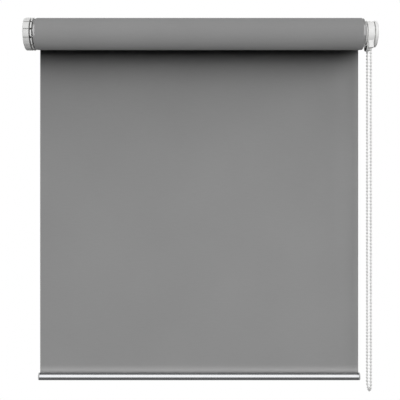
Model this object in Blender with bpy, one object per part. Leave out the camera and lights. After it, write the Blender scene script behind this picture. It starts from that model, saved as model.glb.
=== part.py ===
"""Chain-operated roller blind with a blackout cloth, lowered, on two wall brackets.

Metres, +Z up. +X points to the blind's right end, as seen from the room, and the room is on the
-Y side. The origin is on the wall, midway between the brackets and as high as the roller's axis.
Pieces are drawn about the roller's axis: their objects have their origins on it, and the
angle of a point is counted about +X, from the wall side (0) over the top (90) to the room (180).
"""

import math

import bmesh
import bpy
import numpy as np
from mathutils import Matrix, Vector

MM = 0.001
GAP = 0.3 * MM  # between pieces that touch
WELD = 0.001 * MM
ROUND_STEPS = 36
SMOOTH_BELOW = math.radians(35)
TOP = math.pi / 2

# Roller and cloth
AXIS_TO_WALL = 42 * MM
CLOTH_WIDTH = 600 * MM
CLOTH_THICKNESS = 0.36 * MM
ROLL_RADIUS = 29.5 * MM
ROLL_PITCH = 0.78 * MM
ROLL_TURNS = 9.25
ROLL_STEPS_PER_TURN = 20
TUBE_RADIUS = 21.5 * MM
TUBE_WALL = 1.4 * MM
TUBE_KEY_HEIGHT = 1.4 * MM
TUBE_KEY_WIDTH = 3.2 * MM
STRIP_GROOVE_DEPTH = 2.5 * MM
STRIP_GROOVE_MOUTH = 3.0 * MM
STRIP_GROOVE_FLOOR = 4.8 * MM

# Bottom bar, its centre this far below the roller's axis
BAR_DEPTH = 638.5 * MM
BAR_RADIUS = 7.35 * MM
BAR_WALL = 1.25 * MM
BAR_SLOT = 1.4 * MM
BAR_WEB = 1.9 * MM  # the web's lower face below the bar's centre
HEM_THICKNESS = 0.8 * MM
HEM_SHOWN = 3.0 * MM
ROD_RADIUS = 2.35 * MM
ROD_CHAMBER_RADIUS = 2.9 * MM
ROD_ABOVE_CENTRE = 2.2 * MM
BAR_CAP_THICKNESS = 2.5 * MM
BAR_CAP_LUG = 10 * MM

# Bead chain
BEAD_RADIUS = 2.25 * MM
BEAD_PITCH = 6.0 * MM
CORD_RADIUS = 0.6 * MM
CHAIN_SIDES = 5
POCKETS = 15
LOOP_BEADS = 229
BEADS_ON_WHEEL = 13
CHAIN_X = 313.3 * MM

# Wall brackets, bent from sheet
SHEET = 1.9 * MM
BEND_RADIUS = 1.5 * MM
FLANGE_REACH = 19.5 * MM
FLANGE_TOP = 28 * MM
FLANGE_BOTTOM = -12 * MM
FLANGE_NECK = 38 * MM  # from the axis to where the arm starts to narrow
ARM_TOP = 18 * MM
ARM_NECK = 28 * MM
SLOT_WIDTH = 3.9 * MM
SLOT_LENGTH = 9 * MM
SLOT_HEIGHTS = (-3 * MM, 19 * MM)
PEGS = 3
PEG_RADIUS = 1.6 * MM

# End plugs' crowns, inside the tube
FLANGE_RADIUS = 22.3 * MM
CROWN_CORE = 16.5 * MM
FIN_HOLLOW = 5.2 * MM
FIN_HOLLOWS = (30, 60, 120, 150, 210, 240, 300, 330)

# Left end: cover and lid on the bracket, sprung pin in the plug
LEFT_COVER_RADIUS = 29.5 * MM
LEFT_COVER_WALL = 2.4 * MM
LEFT_COVER_X = (-319.8 * MM, -308.1 * MM)
LEFT_PLATE_X = (-316.1 * MM, -314.2 * MM)
LEFT_HEAD_RADIUS = 26 * MM
LEFT_PEG_CIRCLE = 20 * MM
LID_X = (-305.6 * MM, -303.2 * MM)
LID_SKIRT = (22.4 * MM, 24 * MM)  # radii of the ring that stands on the bracket
LID_HOLE = 5.5 * MM
NOTCHES = 12
FIRST_NOTCH = math.radians(171.8)
NOTCH_WIDTH = 2.2 * MM
NOTCH_LENGTH = 10 * MM  # on the cover
COVER_NOTCH_DEPTH = 1.5 * MM
LID_NOTCH_DEPTH = 7.4 * MM
BUSH_X = -308.5 * MM
BUSH_RADIUS = 6.5 * MM
BUSH_SHOULDER = 8.5 * MM
PLUG_X = (-302.0 * MM, -264.0 * MM)
PLUG_FLOOR = 4 * MM
PIN_POCKET = 6.2 * MM
PIN_RADIUS = 4.0 * MM
PIN_TIP_X = -311.5 * MM
PIN_COLLAR_X = (-296.0 * MM, -293.5 * MM)
PIN_COLLAR_RADIUS = 5.8 * MM
PIN_TAIL_RADIUS = 2.2 * MM
PIN_TAIL_X = -280 * MM
PIN_SPRING_RADIUS = 4.2 * MM
PIN_SPRING_WIRE = 0.8 * MM
PIN_SPRING_TURNS = 5

# Right end: chain guard, wheel and base on the bracket
GUARD_RADIUS = 24 * MM
GUARD_WALL = 1.8 * MM
GUARD_RIM_X = 318.4 * MM
CHEEK_X = (307.0 * MM, 308.6 * MM)
COLLAR_X = 304.6 * MM
COLLAR_RADIUS = 18.5 * MM
TONGUE_RADIUS = 15 * MM
TONGUE_DROP = 17 * MM
TONGUE_BACK = 310.0 * MM
CHUTE_REACH = 4.3 * MM  # from a leg's middle to the outside of its chute
CHUTE_Z = (-28 * MM, -15 * MM)
OUTLET_RADIUS = 3.1 * MM
WHEEL_X = (309.0 * MM, 317.6 * MM)
WHEEL_RADIUS = 15.6 * MM
WHEEL_GROOVE = 1.9 * MM
POCKET_RADIUS = 2.75 * MM
BASE_X = (317.9 * MM, 320.1 * MM)
BASE_RADIUS = 21.9 * MM
BASE_STEP = (318.7 * MM, 19.5 * MM)  # where the plate gets smaller, and its radius from there
HOOK_ANGLES = (math.radians(90), math.radians(210), math.radians(330))
HOOK_RADII = (12 * MM, 17 * MM)
HOOK_WIDTH = 5 * MM
HOOK_END_X = 322.9 * MM
RIGHT_PLATE_X = (320.4 * MM, 322.3 * MM)
RIGHT_HEAD_RADIUS = 20 * MM
RIGHT_PEG_CIRCLE = 15 * MM
RIGHT_COVER_X = (320.6 * MM, 326.3 * MM)

# Wrap-spring clutch, inside the right end of the tube
HUB_X = (262.3 * MM, 301.7 * MM)
HUB_NECK = (304.3 * MM, 17.5 * MM)  # the end of the neck beside the flange, and its radius
HUB_FLOOR_X = 270.0 * MM
HUB_BORE = 13.1 * MM
SPINDLE_RADIUS = 8.0 * MM
SPINDLE_SHOULDER_X = 271.7 * MM
STUB_RADIUS = 5.0 * MM
SCREW_RADIUS = 1.5 * MM
SCREW_HEAD_RADIUS = 3.0 * MM
SCREW_LENGTH = 12 * MM
WASHER_THICKNESS = 1.2 * MM
WASHER_RADIUS = 7.5 * MM
SPRING_WIRE = 1.3 * MM  # square
SPRING_RADIUS = 9.1 * MM
SPRING_PITCH = 2.2 * MM
SPRING_TURNS = 4
SPRING_STARTS = (275 * MM, 287 * MM)
SPRING_CORNER = 1.1 * MM
TANG_ANGLE = math.radians(18)  # each side of the top
TANG_REACH = 12.4 * MM
KEY_WIDTH = 4 * MM
KEY_INNER = 10.1 * MM
KEY_X = (273.5 * MM, 298 * MM)
SLEEVE_RADII = (10.3 * MM, 12.4 * MM)
SLEEVE_END_X = 272.3 * MM
SLEEVE_GAP = math.radians(26)  # each side of the top

HALF_WIDTH = CLOTH_WIDTH / 2
CLOTH_RADIUS = ROLL_RADIUS - CLOTH_THICKNESS / 2
TUBE_BORE = TUBE_RADIUS - TUBE_WALL
GROOVE_FLOOR = TUBE_RADIUS - STRIP_GROOVE_DEPTH
PITCH_RADIUS = POCKETS * BEAD_PITCH / math.tau
CHAIN_LENGTH = LOOP_BEADS * BEAD_PITCH
HALF_ROUND = math.pi * PITCH_RADIUS
LEG_LENGTH = CHAIN_LENGTH / 2 - HALF_ROUND


def linear(hex_colour):
    """The linear colour of an sRGB hex string."""
    channels = [int(hex_colour[i : i + 2], 16) / 255 for i in (0, 2, 4)]
    return [c / 12.92 if c <= 0.04045 else ((c + 0.055) / 1.055) ** 2.4 for c in channels]


def finish(name, hex_colour, roughness, metallic=0.0):
    material = bpy.data.materials.new(name)
    material.use_nodes = True
    shader = material.node_tree.nodes["Principled BSDF"]
    shader.inputs["Base Color"].default_value = (*linear(hex_colour), 1)
    shader.inputs["Roughness"].default_value = roughness
    shader.inputs["Metallic"].default_value = metallic
    material.diffuse_color = (*linear(hex_colour), 1)
    return material


def on_circle(radius, angle, x=0.0):
    """The point at this radius and angle about the roller's axis."""
    return Vector((x, radius * math.cos(angle), radius * math.sin(angle)))


def arc(radius, start, end, steps, centre=(0.0, 0.0)):
    """Points of a flat arc, both ends included."""
    angles = [start + (end - start) * i / steps for i in range(steps + 1)]
    return [(centre[0] + radius * math.cos(a), centre[1] + radius * math.sin(a)) for a in angles]


def circle(radius, steps, centre=(0.0, 0.0)):
    return arc(radius, 0, math.tau, steps, centre)[:-1]


def notched_circle(radius, notches):
    """A circle with notches, each given by its angle, its width and the radius of its floor."""
    outline = []
    for i, (angle, mouth, floor, floor_radius) in enumerate(notches):
        next_angle, next_mouth = notches[(i + 1) % len(notches)][:2]
        if next_angle <= angle:
            next_angle += math.tau
        along, across = on_circle(floor_radius, angle), on_circle(floor / 2, angle + TOP)
        outline += [(along - across).yz, (along + across).yz]
        start = angle + math.asin(mouth / 2 / radius)
        end = next_angle - math.asin(next_mouth / 2 / radius)
        outline += arc(radius, start, end, max(2, round(ROUND_STEPS * (end - start) / math.tau)))
    return outline


def extrude(bm, corners, along):
    """Adds the solid that a flat outline leaves when it is moved along a vector."""
    face = bm.faces.new([bm.verts.new(corner) for corner in corners])
    grown = bmesh.ops.extrude_face_region(bm, geom=[face])["geom"]
    moved = [item for item in grown if isinstance(item, bmesh.types.BMVert)]
    bmesh.ops.translate(bm, verts=moved, vec=along)


def extrude_x(bm, outline, x):
    """Adds a bar with this (y, z) outline, between two places along X."""
    extrude(bm, [(x[0], *corner) for corner in outline], (x[1] - x[0], 0, 0))


def turn(bm, profile, steps=ROUND_STEPS):
    """Adds a turned solid. Its (x, radius) profile starts and ends on the axis, or is a ring's."""
    verts = [bm.verts.new((x, 0, radius)) for x, radius in profile]
    following = verts[1:] if profile[0][1] == 0 else verts[1:] + verts[:1]
    outline = verts + [bm.edges.new(pair) for pair in zip(verts, following)]
    bmesh.ops.spin(
        bm, geom=outline, cent=(0, 0, 0), axis=(1, 0, 0), angle=math.tau, steps=steps, use_merge=True
    )


def cylinder(bm, x, radius, steps=ROUND_STEPS):
    turn(bm, [(x[0], 0), (x[0], radius), (x[1], radius), (x[1], 0)], steps)


def radial_blocks(bm, angles, radii, width, x):
    """Adds blocks that stand on radii at these angles."""
    for angle in angles:
        across = on_circle(width / 2, angle + TOP)
        inner, outer = on_circle(radii[0], angle), on_circle(radii[1], angle)
        extrude_x(bm, [(inner - across).yz, (outer - across).yz, (outer + across).yz, (inner + across).yz], x)


def pegs(bm, circle_radius, radius, x):
    """Adds round pegs along X, evenly about the axis."""
    for i in range(PEGS):
        centre = on_circle(circle_radius, math.radians(150) + math.tau * i / PEGS).yz
        extrude_x(bm, circle(radius, 10, centre), x)


def cross_section(point, tangent, radius, sides):
    """The corners of a wire's section, square to its run and with a flat side along X."""
    across = tangent.cross(Vector((1, 0, 0))).normalized()
    upright = across.cross(tangent).normalized()
    angles = [math.tau * (i + 0.5) / sides for i in range(sides)]
    return [point + across * radius * math.cos(a) + upright * radius * math.sin(a) for a in angles]


def loft(bm, sections):
    """Adds a solid through sections that have the same number of corners."""
    rings = [[bm.verts.new(corner) for corner in section] for section in sections]
    for first, second in zip(rings, rings[1:]):
        for i in range(len(first)):
            j = (i + 1) % len(first)
            bm.faces.new((first[i], first[j], second[j], second[i]))
    bm.faces.new(rings[0])
    bm.faces.new(rings[-1])


def wire(bm, points, radius, sides):
    """Adds a wire of one thickness along points."""
    tangents = [points[1] - points[0]]
    tangents += [after - before for before, after in zip(points, points[2:])]
    tangents.append(points[-1] - points[-2])
    loft(bm, [cross_section(p, t.normalized(), radius, sides) for p, t in zip(points, tangents)])


def helix(radius, x, start, turned, steps_per_turn):
    """Points of a coil about the axis, from one place along X to another."""
    steps = round(turned / math.tau * steps_per_turn)
    shares = [i / steps for i in range(steps + 1)]
    return [on_circle(radius, start + turned * share, x[0] + (x[1] - x[0]) * share) for share in shares]


def print_least_gap(name, points, per_turn, thickness):
    """Prints how near a coil's turns come to each other, between points half a turn or more apart."""
    places = np.array(points)
    order = np.arange(len(places))
    apart = np.linalg.norm(places[:, None] - places[None], axis=2)
    others = np.abs(order[:, None] - order[None]) > per_turn / 2
    print(f"{name}: least gap between turns {(apart[others].min() - thickness) / MM:.2f} mm")


def finished_mesh(name, bm):
    bmesh.ops.remove_doubles(bm, verts=bm.verts, dist=WELD)
    bmesh.ops.recalc_face_normals(bm, faces=bm.faces)
    mesh = bpy.data.meshes.new(name)
    bm.to_mesh(mesh)
    bm.free()
    mesh.shade_smooth()
    mesh.set_sharp_from_angle(angle=SMOOTH_BELOW)
    return mesh


def body(name):
    """An empty on the roller's axis that carries the pieces of one rigid body."""
    carrier = bpy.data.objects.new(name, None)
    carrier.location = (0, -AXIS_TO_WALL, 0)
    bpy.context.scene.collection.objects.link(carrier)
    return carrier


def place(name, data, carrier):
    piece = bpy.data.objects.new(name, data)
    piece.parent = carrier
    bpy.context.scene.collection.objects.link(piece)
    return piece


def add(name, bm, carrier, material):
    """Adds a piece made from this bmesh."""
    piece = place(name, finished_mesh(name, bm), carrier)
    piece.data.materials.append(material)
    return piece


def combine(piece, operation, shape, bm):
    """Joins a shape to a piece, cuts it away or keeps what both share."""
    tool = place(f"{piece.name}_{shape}", finished_mesh(shape, bm), piece.parent)
    tool.hide_render = True
    tool.display_type = "WIRE"
    modifier = piece.modifiers.new(shape, "BOOLEAN")
    modifier.operation = operation
    modifier.object = tool


def add_section(name, outlines, centre, carrier, material):
    """Adds a bar as long as the cloth is wide, from its (y, z) outline and those of its hollows."""
    curve = bpy.data.curves.new(name, "CURVE")
    curve.dimensions = "2D"
    curve.fill_mode = "BOTH"
    curve.extrude = HALF_WIDTH
    for outline in outlines:
        spline = curve.splines.new("POLY")
        spline.points.add(len(outline) - 1)
        for point, (y, z) in zip(spline.points, outline):
            point.co = (y, z, 0, 1)
        spline.use_cyclic_u = True
    curve.materials.append(material)
    piece = place(name, curve, carrier)
    piece.location = (0, *centre)
    piece.rotation_euler = (math.pi / 2, 0, math.pi / 2)


def tube_keys():
    """What stands inwards in the tube: the strip's groove at the top and three keys."""
    width = STRIP_GROOVE_FLOOR + 2 * TUBE_WALL
    groove = (TOP, width, width, GROOVE_FLOOR - TUBE_WALL)
    floor = TUBE_BORE - TUBE_KEY_HEIGHT
    return [groove] + [(TOP * quarter, TUBE_KEY_WIDTH, TUBE_KEY_WIDTH, floor) for quarter in (2, 3, 4)]


def crown_outline():
    """The outline of an end plug's crown, with slots for the tube's keys and hollows between fins."""
    notches = [(math.radians(angle), FIN_HOLLOW, FIN_HOLLOW, CROWN_CORE) for angle in FIN_HOLLOWS]
    for angle, width, _, floor_radius in tube_keys():
        notches.append((angle, width + 2 * GAP, width + 2 * GAP, floor_radius - GAP))
    return notched_circle(TUBE_BORE - GAP, sorted(notches))


def roller_tube(roller, aluminium, pvc):
    """The extruded tube, and the strip that holds the cloth's end in its groove."""
    groove = [(TOP, STRIP_GROOVE_MOUTH, STRIP_GROOVE_FLOOR, GROOVE_FLOOR)]
    outlines = [notched_circle(TUBE_RADIUS, groove), notched_circle(TUBE_BORE, tube_keys())]
    add_section("roller_tube", outlines, (0, 0), roller, aluminium)

    mouth, floor = STRIP_GROOVE_MOUTH / 2 - 1.3 * GAP, STRIP_GROOVE_FLOOR / 2 - 1.3 * GAP
    top, bottom = TUBE_RADIUS - GAP, GROOVE_FLOOR + GAP
    bm = bmesh.new()
    outline = [(-floor, bottom), (floor, bottom), (mouth, top), (-mouth, top)]
    extrude_x(bm, outline, (-HALF_WIDTH, HALF_WIDTH))
    add("cloth_strip", bm, roller, pvc)


def wound_cloth(roller, cloth):
    """The cloth on the tube: a spiral from over the groove outwards, which leaves it on the wall side."""
    bm = bmesh.new()
    middle, pairs = [], []
    for i in range(round(ROLL_TURNS * ROLL_STEPS_PER_TURN) + 1):
        angle = math.tau * i / ROLL_STEPS_PER_TURN
        radius = CLOTH_RADIUS - ROLL_PITCH * angle / math.tau
        middle.append(on_circle(radius, angle))
        faces_at = (radius + CLOTH_THICKNESS / 2, radius - CLOTH_THICKNESS / 2)
        pairs.append([bm.verts.new(on_circle(face, angle, -HALF_WIDTH)) for face in faces_at])
    strip = [bm.faces.new((a[0], b[0], b[1], a[1])) for a, b in zip(pairs, pairs[1:])]
    grown = bmesh.ops.extrude_face_region(bm, geom=strip)["geom"]
    moved = [item for item in grown if isinstance(item, bmesh.types.BMVert)]
    bmesh.ops.translate(bm, verts=moved, vec=(CLOTH_WIDTH, 0, 0))
    add("fabric_roll", bm, roller, cloth)
    print_least_gap("fabric_roll", middle, ROLL_STEPS_PER_TURN, CLOTH_THICKNESS)


def hanging_cloth(fixed, cloth):
    """The cloth from the back of the roll down to its hem, which ends inside the bar's slot."""
    half, hem = CLOTH_THICKNESS / 2, HEM_THICKNESS / 2
    hem_top = BAR_RADIUS + HEM_SHOWN - BAR_DEPTH
    hem_end = ROD_ABOVE_CENTRE + ROD_RADIUS + GAP - BAR_DEPTH
    wall_side = [(half, -GAP), (half, hem_top + hem), (hem, hem_top), (hem, hem_end)]
    room_side = [(-y, z) for y, z in reversed(wall_side)]
    bm = bmesh.new()
    outline = [(CLOTH_RADIUS + y, z) for y, z in wall_side + room_side]
    extrude_x(bm, outline, (-HALF_WIDTH, HALF_WIDTH))
    add("fabric_drop", bm, fixed, cloth)


def bottom_bar(lift, bright, pvc, grey_plastic):
    """The round bar with its keyhole slot, the rod in the cloth's hem and the two end caps."""
    centre = (CLOTH_RADIUS, -BAR_DEPTH)
    lip = math.asin(BAR_SLOT / 2 / BAR_RADIUS)
    throat = math.asin(BAR_SLOT / 2 / ROD_CHAMBER_RADIUS)
    outer = arc(BAR_RADIUS, TOP + lip, TOP - lip + math.tau, 36)
    chamber = arc(ROD_CHAMBER_RADIUS, TOP - throat, TOP + throat - math.tau, 18, (0, ROD_ABOVE_CENTRE))
    hollow_radius = BAR_RADIUS - BAR_WALL
    corner = math.asin(BAR_WEB / hollow_radius)
    hollow = arc(hollow_radius, corner - math.pi, -corner, 14)
    add_section("bottom_bar", [outer + chamber, hollow], centre, lift, bright)

    bm = bmesh.new()
    rod = circle(ROD_RADIUS, 16, (centre[0], centre[1] + ROD_ABOVE_CENTRE))
    extrude_x(bm, rod, (-HALF_WIDTH, HALF_WIDTH))
    add("hem_rod", bm, lift, pvc)

    lug_radius = hollow_radius - GAP
    corner = math.asin((BAR_WEB + GAP) / lug_radius)
    for name, side in (("left_bar_cap", -1), ("right_bar_cap", 1)):
        seat = side * (HALF_WIDTH + GAP)
        face = seat + side * BAR_CAP_THICKNESS
        soft = 0.6 * MM
        profile = [(seat, 0), (seat, BAR_RADIUS), (face - side * soft, BAR_RADIUS)]
        profile += [(face, BAR_RADIUS - soft), (face, 0)]
        bm = bmesh.new()
        turn(bm, profile, 24)
        bmesh.ops.translate(bm, verts=bm.verts, vec=(0, *centre))
        cap = add(name, bm, lift, grey_plastic)
        bm = bmesh.new()
        lug = arc(lug_radius, corner - math.pi, -corner, 10, centre)
        extrude_x(bm, lug, (side * (HALF_WIDTH - BAR_CAP_LUG), seat + side * 1 * MM))
        combine(cap, "UNION", "lug", bm)


def chain_place(distance):
    """The point of the chain's loop this far from the wheel's top, counted down the wall side."""
    distance %= CHAIN_LENGTH
    quarter = HALF_ROUND / 2
    if distance < quarter:
        return on_circle(PITCH_RADIUS, TOP - distance / PITCH_RADIUS, CHAIN_X)
    distance -= quarter
    if distance < LEG_LENGTH:
        return Vector((CHAIN_X, PITCH_RADIUS, -distance))
    distance -= LEG_LENGTH
    if distance < HALF_ROUND:
        return on_circle(PITCH_RADIUS, -distance / PITCH_RADIUS, CHAIN_X) - Vector((0, 0, LEG_LENGTH))
    distance -= HALF_ROUND
    if distance < LEG_LENGTH:
        return Vector((CHAIN_X, -PITCH_RADIUS, distance - LEG_LENGTH))
    distance -= LEG_LENGTH
    return on_circle(PITCH_RADIUS, math.pi - distance / PITCH_RADIUS, CHAIN_X)


def add_beads(name, first, last, carrier, material):
    """Adds these beads of the loop on their cord, which reaches halfway to the next bead at each end."""
    reach = 0.93 * BEAD_RADIUS
    half = BEAD_PITCH / 2 - GAP / 2
    rings = [(first * BEAD_PITCH - half, CORD_RADIUS)]
    for i in range(first, last + 1):
        centre = i * BEAD_PITCH
        rings += [(centre - reach, CORD_RADIUS), (centre, BEAD_RADIUS), (centre + reach, CORD_RADIUS)]
    rings.append((last * BEAD_PITCH + half, CORD_RADIUS))
    sections = []
    for distance, radius in rings:
        tangent = chain_place(distance + 0.1 * MM) - chain_place(distance - 0.1 * MM)
        section = cross_section(chain_place(distance), tangent.normalized(), radius, CHAIN_SIDES)
        sections.append(section)
    bm = bmesh.new()
    loft(bm, sections)
    add(name, bm, carrier, material)


def bead_chain(fixed, chain_plastic):
    """The endless chain: the beads in and near the wheel's pockets, and the loop that hangs below."""
    half = BEADS_ON_WHEEL // 2
    add_beads("chain_on_wheel", -half, half, fixed, chain_plastic)
    add_beads("bead_chain", half + 1, LOOP_BEADS - half - 1, fixed, chain_plastic)


def add_bracket(name, plate_x, head_radius, carrier, material):
    """Adds a bent sheet: a slotted flange on the wall, turned inwards, and an arm with a round head."""
    side = 1 if plate_x[0] > 0 else -1
    near, far = plate_x if side > 0 else reversed(plate_x)
    toe = far - side * FLANGE_REACH
    wall, front = AXIS_TO_WALL, -head_radius - 1 * MM
    bend = (near - side * BEND_RADIUS, wall - SHEET - BEND_RADIUS)
    start = 0 if side > 0 else math.pi
    section = [(near, front), (far, front)] + arc(BEND_RADIUS + SHEET, start, TOP, 6, bend)
    section += [(toe, wall), (toe, wall - SHEET)] + arc(BEND_RADIUS, TOP, start, 6, bend)
    bm = bmesh.new()
    extrude(bm, [(x, y, -head_radius - 5 * MM) for x, y in section], (0, 0, 2 * head_radius + 10 * MM))
    bracket = add(name, bm, carrier, material)

    arm_top = math.asin(ARM_TOP / head_radius)
    arm_bottom = math.asin(FLANGE_BOTTOM / head_radius) + math.tau
    outline = arc(head_radius, arm_top, arm_bottom, 28)
    outline += [(wall + 1 * MM, FLANGE_BOTTOM), (wall + 1 * MM, FLANGE_TOP)]
    outline += [(FLANGE_NECK, FLANGE_TOP), (ARM_NECK, ARM_TOP)]
    bm = bmesh.new()
    extrude_x(bm, outline, sorted((toe - side * 1 * MM, far + side * 1 * MM)))
    combine(bracket, "INTERSECT", "side", bm)

    flat = FLANGE_REACH - SHEET - BEND_RADIUS
    middle, half = toe + side * flat / 2, (SLOT_LENGTH - SLOT_WIDTH) / 2
    bm = bmesh.new()
    for height in SLOT_HEIGHTS:
        slot = arc(SLOT_WIDTH / 2, TOP, 3 * TOP, 6, (middle - half, height))
        slot += arc(SLOT_WIDTH / 2, -TOP, TOP, 6, (middle + half, height))
        extrude(bm, [(x, wall - 2 * SHEET, z) for x, z in slot], (0, 3 * SHEET, 0))
    combine(bracket, "DIFFERENCE", "screw_slots", bm)
    return bracket


def arm_opening(bm, x, y):
    """Adds the space that a bracket's arm needs through the back of a cover."""
    bottom, top = FLANGE_BOTTOM - GAP, ARM_TOP + GAP
    extrude_x(bm, [(y[0], bottom), (y[1], bottom), (y[1], top), (y[0], top)], x)


def past(x):
    """A cutter's two ends, 1 mm beyond a plate's faces."""
    return (x[0] - 1 * MM, x[1] + 1 * MM)


def left_bracket(fixed, white_steel, grey_plastic):
    """The idle end's bracket, with the bush that the sprung pin turns in."""
    bracket = add_bracket("left_bracket", LEFT_PLATE_X, LEFT_HEAD_RADIUS, fixed, white_steel)
    bm = bmesh.new()
    cylinder(bm, past(LEFT_PLATE_X), BUSH_RADIUS + GAP)
    combine(bracket, "DIFFERENCE", "bush_hole", bm)
    bm = bmesh.new()
    pegs(bm, LEFT_PEG_CIRCLE, PEG_RADIUS + GAP, past(LEFT_PLATE_X))
    combine(bracket, "DIFFERENCE", "peg_holes", bm)

    hole, shoulder_x = PIN_RADIUS + GAP, LEFT_PLATE_X[1] + GAP
    profile = [(BUSH_X, hole), (BUSH_X, BUSH_SHOULDER), (shoulder_x, BUSH_SHOULDER)]
    profile += [(shoulder_x, BUSH_RADIUS), (LEFT_PLATE_X[0], BUSH_RADIUS), (LEFT_PLATE_X[0], hole)]
    bm = bmesh.new()
    turn(bm, profile, 20)
    add("pin_bush", bm, fixed, grey_plastic)


def notches(bm, depth, x):
    """Adds the cutters for the notches round the left cover and its lid."""
    angles = [FIRST_NOTCH + math.tau * i / NOTCHES for i in range(NOTCHES)]
    radii = (LEFT_COVER_RADIUS - depth, LEFT_COVER_RADIUS + 1 * MM)
    radial_blocks(bm, angles, radii, NOTCH_WIDTH, x)


def left_cover(fixed, white_plastic):
    """The drum over the idle end's bracket, notched round its rim, with sockets for the lid's pegs."""
    face, rim = LEFT_COVER_X
    floor, bore = face + LEFT_COVER_WALL, LEFT_COVER_RADIUS - LEFT_COVER_WALL
    soft = 1.2 * MM
    profile = [(face, 0), (face, LEFT_COVER_RADIUS - soft)]
    profile += [(face + 0.3 * soft, LEFT_COVER_RADIUS - 0.3 * soft), (face + soft, LEFT_COVER_RADIUS)]
    profile += [(rim, LEFT_COVER_RADIUS), (rim, bore), (floor, bore), (floor, 0)]
    bm = bmesh.new()
    turn(bm, profile)
    cover = add("left_cover", bm, fixed, white_plastic)
    bm = bmesh.new()
    notches(bm, COVER_NOTCH_DEPTH, (rim - NOTCH_LENGTH, rim + 1 * MM))
    combine(cover, "DIFFERENCE", "notches", bm)
    bm = bmesh.new()
    pegs(bm, LEFT_PEG_CIRCLE, 2 * PEG_RADIUS, (floor - 1 * MM, LEFT_PLATE_X[0] - GAP))
    combine(cover, "UNION", "sockets", bm)
    bm = bmesh.new()
    pegs(bm, LEFT_PEG_CIRCLE, PEG_RADIUS + GAP, (floor, LEFT_PLATE_X[0] + 1 * MM))
    combine(cover, "DIFFERENCE", "socket_holes", bm)
    bm = bmesh.new()
    arm_opening(bm, (LEFT_PLATE_X[0] - GAP, rim + 1 * MM), (18 * MM, 31 * MM))
    combine(cover, "DIFFERENCE", "arm_opening", bm)


def left_lid(fixed, white_plastic):
    """The notched lid that faces the roll, with a skirt on the bracket and pegs through it."""
    outer, inner = LID_X
    skirt_end, back = LEFT_PLATE_X[1] + GAP, outer + 0.4 * MM
    profile = [(inner, LID_HOLE), (inner, LEFT_COVER_RADIUS), (outer, LEFT_COVER_RADIUS)]
    profile += [(outer, LID_SKIRT[1]), (skirt_end, LID_SKIRT[1]), (skirt_end, LID_SKIRT[0])]
    profile += [(back, LID_SKIRT[0]), (back, LID_HOLE)]
    bm = bmesh.new()
    turn(bm, profile)
    lid = add("left_lid", bm, fixed, white_plastic)
    bm = bmesh.new()
    notches(bm, LID_NOTCH_DEPTH, (LEFT_COVER_X[1] - 3 * MM, inner + 1 * MM))
    combine(lid, "DIFFERENCE", "notches", bm)
    bm = bmesh.new()
    pegs(bm, LEFT_PEG_CIRCLE, PEG_RADIUS, (LEFT_COVER_X[0] + LEFT_COVER_WALL + GAP, outer + 1 * MM))
    combine(lid, "UNION", "pegs", bm)


def idle_plug(roller, sliding, grey_plastic, spring_steel):
    """The plug in the tube's left end, with the pin that hooks the roller into its bracket."""
    bm = bmesh.new()
    extrude_x(bm, crown_outline(), (-HALF_WIDTH - 1 * MM, PLUG_X[1]))
    plug = add("idle_plug", bm, roller, grey_plastic)
    bm = bmesh.new()
    cylinder(bm, (PLUG_X[0], -HALF_WIDTH - GAP), FLANGE_RADIUS)
    combine(plug, "UNION", "flange", bm)
    mouth, hole = PIN_RADIUS + GAP, PIN_TAIL_RADIUS + GAP
    start, end = PIN_COLLAR_X[0] - GAP, PLUG_X[1] - PLUG_FLOOR
    profile = [(PLUG_X[0] - 1 * MM, 0), (PLUG_X[0] - 1 * MM, mouth), (start, mouth), (start, PIN_POCKET)]
    profile += [(end, PIN_POCKET), (end, hole), (PLUG_X[1] + 1 * MM, hole), (PLUG_X[1] + 1 * MM, 0)]
    bm = bmesh.new()
    turn(bm, profile, 20)
    combine(plug, "DIFFERENCE", "pin_pocket", bm)

    collar, collar_end = PIN_COLLAR_X
    profile = [(PIN_TIP_X, 0), (PIN_TIP_X, PIN_RADIUS - 1 * MM), (PIN_TIP_X + 1 * MM, PIN_RADIUS)]
    profile += [(collar, PIN_RADIUS), (collar, PIN_COLLAR_RADIUS), (collar_end, PIN_COLLAR_RADIUS)]
    profile += [(collar_end, PIN_TAIL_RADIUS), (PIN_TAIL_X, PIN_TAIL_RADIUS), (PIN_TAIL_X, 0)]
    bm = bmesh.new()
    turn(bm, profile, 18)
    add("idle_pin", bm, sliding, grey_plastic)

    span = (collar_end + PIN_SPRING_WIRE, end - PIN_SPRING_WIRE)
    coil = helix(PIN_SPRING_RADIUS, span, 0, PIN_SPRING_TURNS * math.tau, 9)
    bm = bmesh.new()
    wire(bm, coil, PIN_SPRING_WIRE / 2, 4)
    add("idle_pin_spring", bm, roller, spring_steel)


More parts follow.
